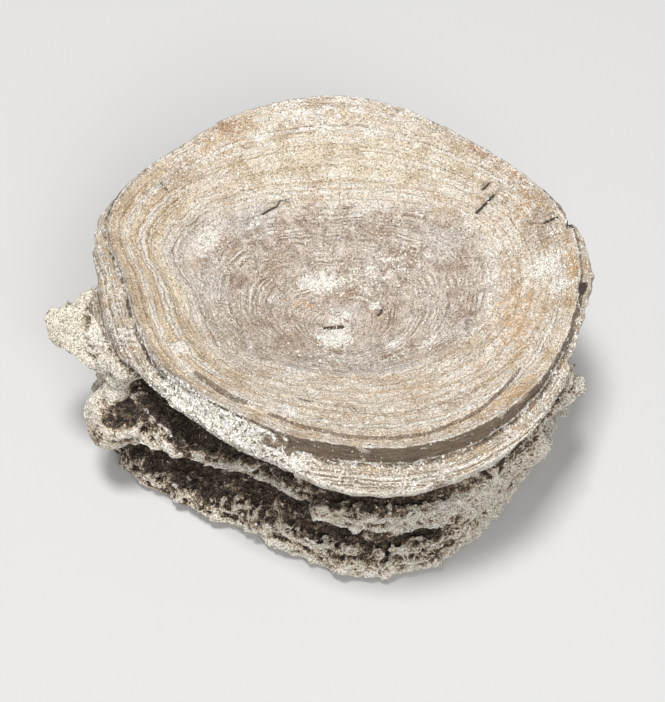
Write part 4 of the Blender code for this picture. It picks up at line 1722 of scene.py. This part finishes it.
def grains_mesh(name, places, normals, sizes, seed):
    """One mesh of many crumbs: dented twenty-sided solids, flattened on the skin and half sunk in it."""
    draw = np.random.default_rng(seed)
    corners, faces = icosahedron()
    count = len(places)
    shape = corners[None] * draw.uniform(*CRUMB_DENTS, (count, len(corners), 1))
    spin = draw.standard_normal((count, 3, 3))
    turned, _ = np.linalg.qr(spin)
    turned *= np.sign(np.linalg.det(turned))[:, None, None]
    squash = draw.uniform(*CRUMB_SQUASH, (count, 3))
    shape = np.einsum("nij,nkj->nki", turned, shape * squash[:, None, :])
    standing = np.einsum("nkj,nj->nk", shape, normals)
    shape -= CRUMB_FLATTENED * standing[:, :, None] * normals[:, None, :]
    middles = places + normals * (sizes * CRUMB_LIFT)[:, None]
    points = middles[:, None, :] + shape * sizes[:, None, None]
    numbers = faces[None] + len(corners) * np.arange(count)[:, None, None]
    return new_object(name, points.reshape(-1, 3), numbers.reshape(-1, 3))


def chalk_density(skin):
    """Chalk crumbs to a square millimetre, for each triangle: thick on the crust, thin on the face."""
    x, y, _ = skin.middles.T
    masks = skin.masks
    patches = ease(masks["chalk"], 0.15, 0.9)
    right = ease(x, 17.0, 21.0) * ease(y, -6.0, 0.0)
    face = masks["plate"] * (0.9 + 9.0 * patches + 4.0 * right)
    angle = angle_of(x, y)
    front_ledge = sector(angle, 195.0, 345.0, 10.0)
    foot = sector(angle, 255.0, 345.0, 5.0) * ease(masks["inside"], -1.4, -0.6)
    ledge = masks["ledge"] * (0.3 + 1.5 * front_ledge + 5.0 * foot + 4.5 * masks["crust"])
    side = (1.0 - masks["plate"]) * (1.0 - masks["ledge"]) * ease(0.5 - masks["dell"], -0.02, 0.1)
    side = side * (0.3 + 0.9 * ease(-y, -4.0, 4.0))
    up = np.clip(skin.normals[:, 2], 0.0, 1.0)
    return face + ledge + side * ease(up, -0.2, 0.5)


def add_chalk(skin, material):
    """White crumbs on the face, the ledge and the high parts of the side."""
    chosen, places = skin.strew(chalk_density(skin), CHALK_SEED)
    draw = np.random.default_rng(CHALK_SEED + 1)
    coarse = CHALK_SIZE + 0.04 * skin.masks["crust"][chosen] + 0.02 * skin.masks["ledge"][chosen]
    sizes = coarse * draw.lognormal(0.0, CHALK_SPREAD, len(chosen))
    thing = grains_mesh("chalk", places, skin.normals[chosen], sizes, CHALK_SEED + 2)
    thing.data.materials.append(material)
    return thing


def side_share(skin):
    """1 on the side of the bone, less on the slab, and 0 on the face, ledge, underside and foot."""
    x, y, z = skin.middles.T
    masks = skin.masks
    below_rim = at_angle(RIM, angle_of(x, y)) - z
    side = (1.0 - masks["plate"]) * (1.0 - np.clip(masks["ledge"], 0, 1)) * (1.0 - masks["riser"])
    side = side * (1.0 - 0.6 * masks["slab"])
    return side * ease(skin.normals[:, 2], -0.7, -0.3) * ease(z, 0.3, 0.6) * ease(below_rim, 0.9, 1.4)


def add_grit(skin, material):
    """Rough bone crumbs all over the side, in the bone's own colours."""
    front = 0.4 + 0.6 * ease(-skin.middles[:, 1], -10.0, 0.0)
    chosen, places = skin.strew(GRIT_DENSITY * side_share(skin) * front, GRIT_SEED)
    draw = np.random.default_rng(GRIT_SEED + 1)
    sizes = GRIT_SIZE * draw.lognormal(0.0, GRIT_SPREAD, len(chosen))
    thing = grains_mesh("grit", places, skin.normals[chosen], sizes, GRIT_SEED + 2)
    coat(thing, material)
    return thing


def tube(path, thick, sides):
    """Points and triangles of a tapering tube along a path."""
    path = np.array(path)
    way = np.gradient(path, axis=0)
    way /= np.linalg.norm(way, axis=1, keepdims=True)
    across = np.cross(way, (0.31, 0.17, 0.94))
    across /= np.linalg.norm(across, axis=1, keepdims=True)
    second = np.cross(way, across)
    taper = thick * np.sin(np.pi * np.linspace(*FIBRE_TAPER, len(path)))
    turns = 2.0 * np.pi * np.arange(sides) / sides
    rings = across[:, None] * np.cos(turns)[None, :, None] + second[:, None] * np.sin(turns)[None, :, None]
    points = (path[:, None] + rings * taper[:, None, None]).reshape(-1, 3)
    faces = []
    for i in range(len(path) - 1):
        for k in range(sides):
            a, b = i * sides + k, i * sides + (k + 1) % sides
            faces += [(a, b, b + sides), (a, b + sides, a + sides)]
    last = (len(path) - 1) * sides
    for k in range(1, sides - 1):
        faces += [(0, k + 1, k), (last, last + k, last + k + 1)]
    return points, np.array(faces)


def fibre_path(bone_tree, draw, angle, level, heading, steps):
    """A wandering path over the side wall from an angle and a level, or None where the wall breaks off."""
    path = []
    for _ in range(steps):
        out = way_out(angle)
        hit = ray_inwards(bone_tree, out, level)
        if hit is None or (path and (Vector(path[-1]) - hit).length > 3.0 * FIBRE_PACE):
            break
        path.append(tuple(hit + out * FIBRE_LIFT))
        radius = math.hypot(hit.x, hit.y)
        heading += draw.normal(0.0, FIBRE_WANDER)
        angle += math.cos(heading) * FIBRE_PACE / radius
        level += math.sin(heading) * FIBRE_PACE
    return path if len(path) > 3 else None


def add_fibres(skin, mesh, material):
    """Short strands of fibrous bone lying along the side."""
    bone_tree = ray_tree(mesh)
    _, places = skin.strew(FIBRE_DENSITY * side_share(skin), FIBRE_SEED)
    draw = np.random.default_rng(FIBRE_SEED + 1)
    points, faces, total = [], [], 0
    for x, y, z in places:
        angle = math.atan2(y, x)
        upright = float(upright_share(math.degrees(angle), z))
        heading = draw.normal(0.0, FIBRE_TILT) + upright * math.pi / 2.0
        path = fibre_path(bone_tree, draw, angle, z, heading, int(draw.integers(*FIBRE_PIECES)))
        if path is None:
            continue
        strand, sides = tube(path, draw.uniform(*FIBRE_THICK), FIBRE_SIDES)
        points.append(strand)
        faces.append(sides + total)
        total += len(strand)
    thing = new_object("fibres", np.concatenate(points), np.concatenate(faces))
    coat(thing, material)
    return thing


bone = build_bone()
finish = bone_material()
skin = Skin(bone.data, coat(bone, finish))
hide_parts("vertebra")
chalk = add_chalk(skin, chalk_material())
grit = add_grit(skin, finish)
fibres = add_fibres(skin, bone.data, finish)
for piece in (bone, chalk, grit, fibres):
    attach(piece, "root")


# ---------------------------------------------------------------- camera, lights and floor


CAMERA_TARGET = (1.2, -3.0, 10.2)  # in millimetres
CAMERA_RAISED = 55.0  # degrees above the table
CAMERA_AWAY = 175.0
LENS = 80.0  # focal length for a picture 36 mm wide

# Soft square lights: name, place and size in metres, power in watts
LIGHTS = (
    ("key", (-0.07, 0.03, 0.58), 0.14, 3.55),
    ("fill", (0.12, -0.40, 0.40), 0.30, 2.1),
)
LIGHT_TARGET = (0.0, 0.0, 0.01)
FLOOR_HALF = 1.5
FLOOR_COLOUR = (0.50, 0.495, 0.485, 1.0)
SKY_COLOUR = (0.9, 0.92, 0.95, 1.0)
SKY_STRENGTH = 0.22


def add_camera():
    """Camera at the photograph's viewing angle."""
    data = bpy.data.cameras.new("camera")
    data.lens = LENS
    data.sensor_width = 36.0
    data.clip_start = 0.01
    camera = linked("camera", data)
    raised = math.radians(CAMERA_RAISED)
    away = Vector((0.0, -math.cos(raised), math.sin(raised))) * CAMERA_AWAY
    camera.location = (Vector(CAMERA_TARGET) + away) * MM
    camera.rotation_euler = (math.radians(90.0) - raised, 0.0, 0.0)
    bpy.context.scene.camera = camera


def add_lights():
    """Soft lights aimed at the bone, and a pale sky."""
    for name, place, size, power in LIGHTS:
        data = bpy.data.lights.new(name, "AREA")
        data.size = size
        data.energy = power
        light = linked(name, data)
        light.location = place
        aim = Vector(LIGHT_TARGET) - light.location
        light.rotation_euler = aim.to_track_quat("-Z", "Y").to_euler()
    world = bpy.data.worlds.new("world")
    bpy.context.scene.world = world
    world.use_nodes = True
    sky = world.node_tree.nodes["Background"]
    sky.inputs["Color"].default_value = SKY_COLOUR
    sky.inputs["Strength"].default_value = SKY_STRENGTH


def add_floor():
    """Pale floor."""
    mesh = bpy.data.meshes.new("floor")
    corners = [(x * FLOOR_HALF, y * FLOOR_HALF, 0.0) for x, y in ((-1, -1), (1, -1), (1, 1), (-1, 1))]
    mesh.from_pydata(corners, [], [(0, 1, 2, 3)])
    paint = bpy.data.materials.new("floor")
    paint.use_nodes = True
    shader = paint.node_tree.nodes["Principled BSDF"]
    shader.inputs["Base Color"].default_value = FLOOR_COLOUR
    shader.inputs["Roughness"].default_value = 0.9
    mesh.materials.append(paint)
    floor = linked("floor", mesh)


add_camera()
add_lights()
add_floor()
bpy.context.scene.view_settings.view_transform = "Standard"
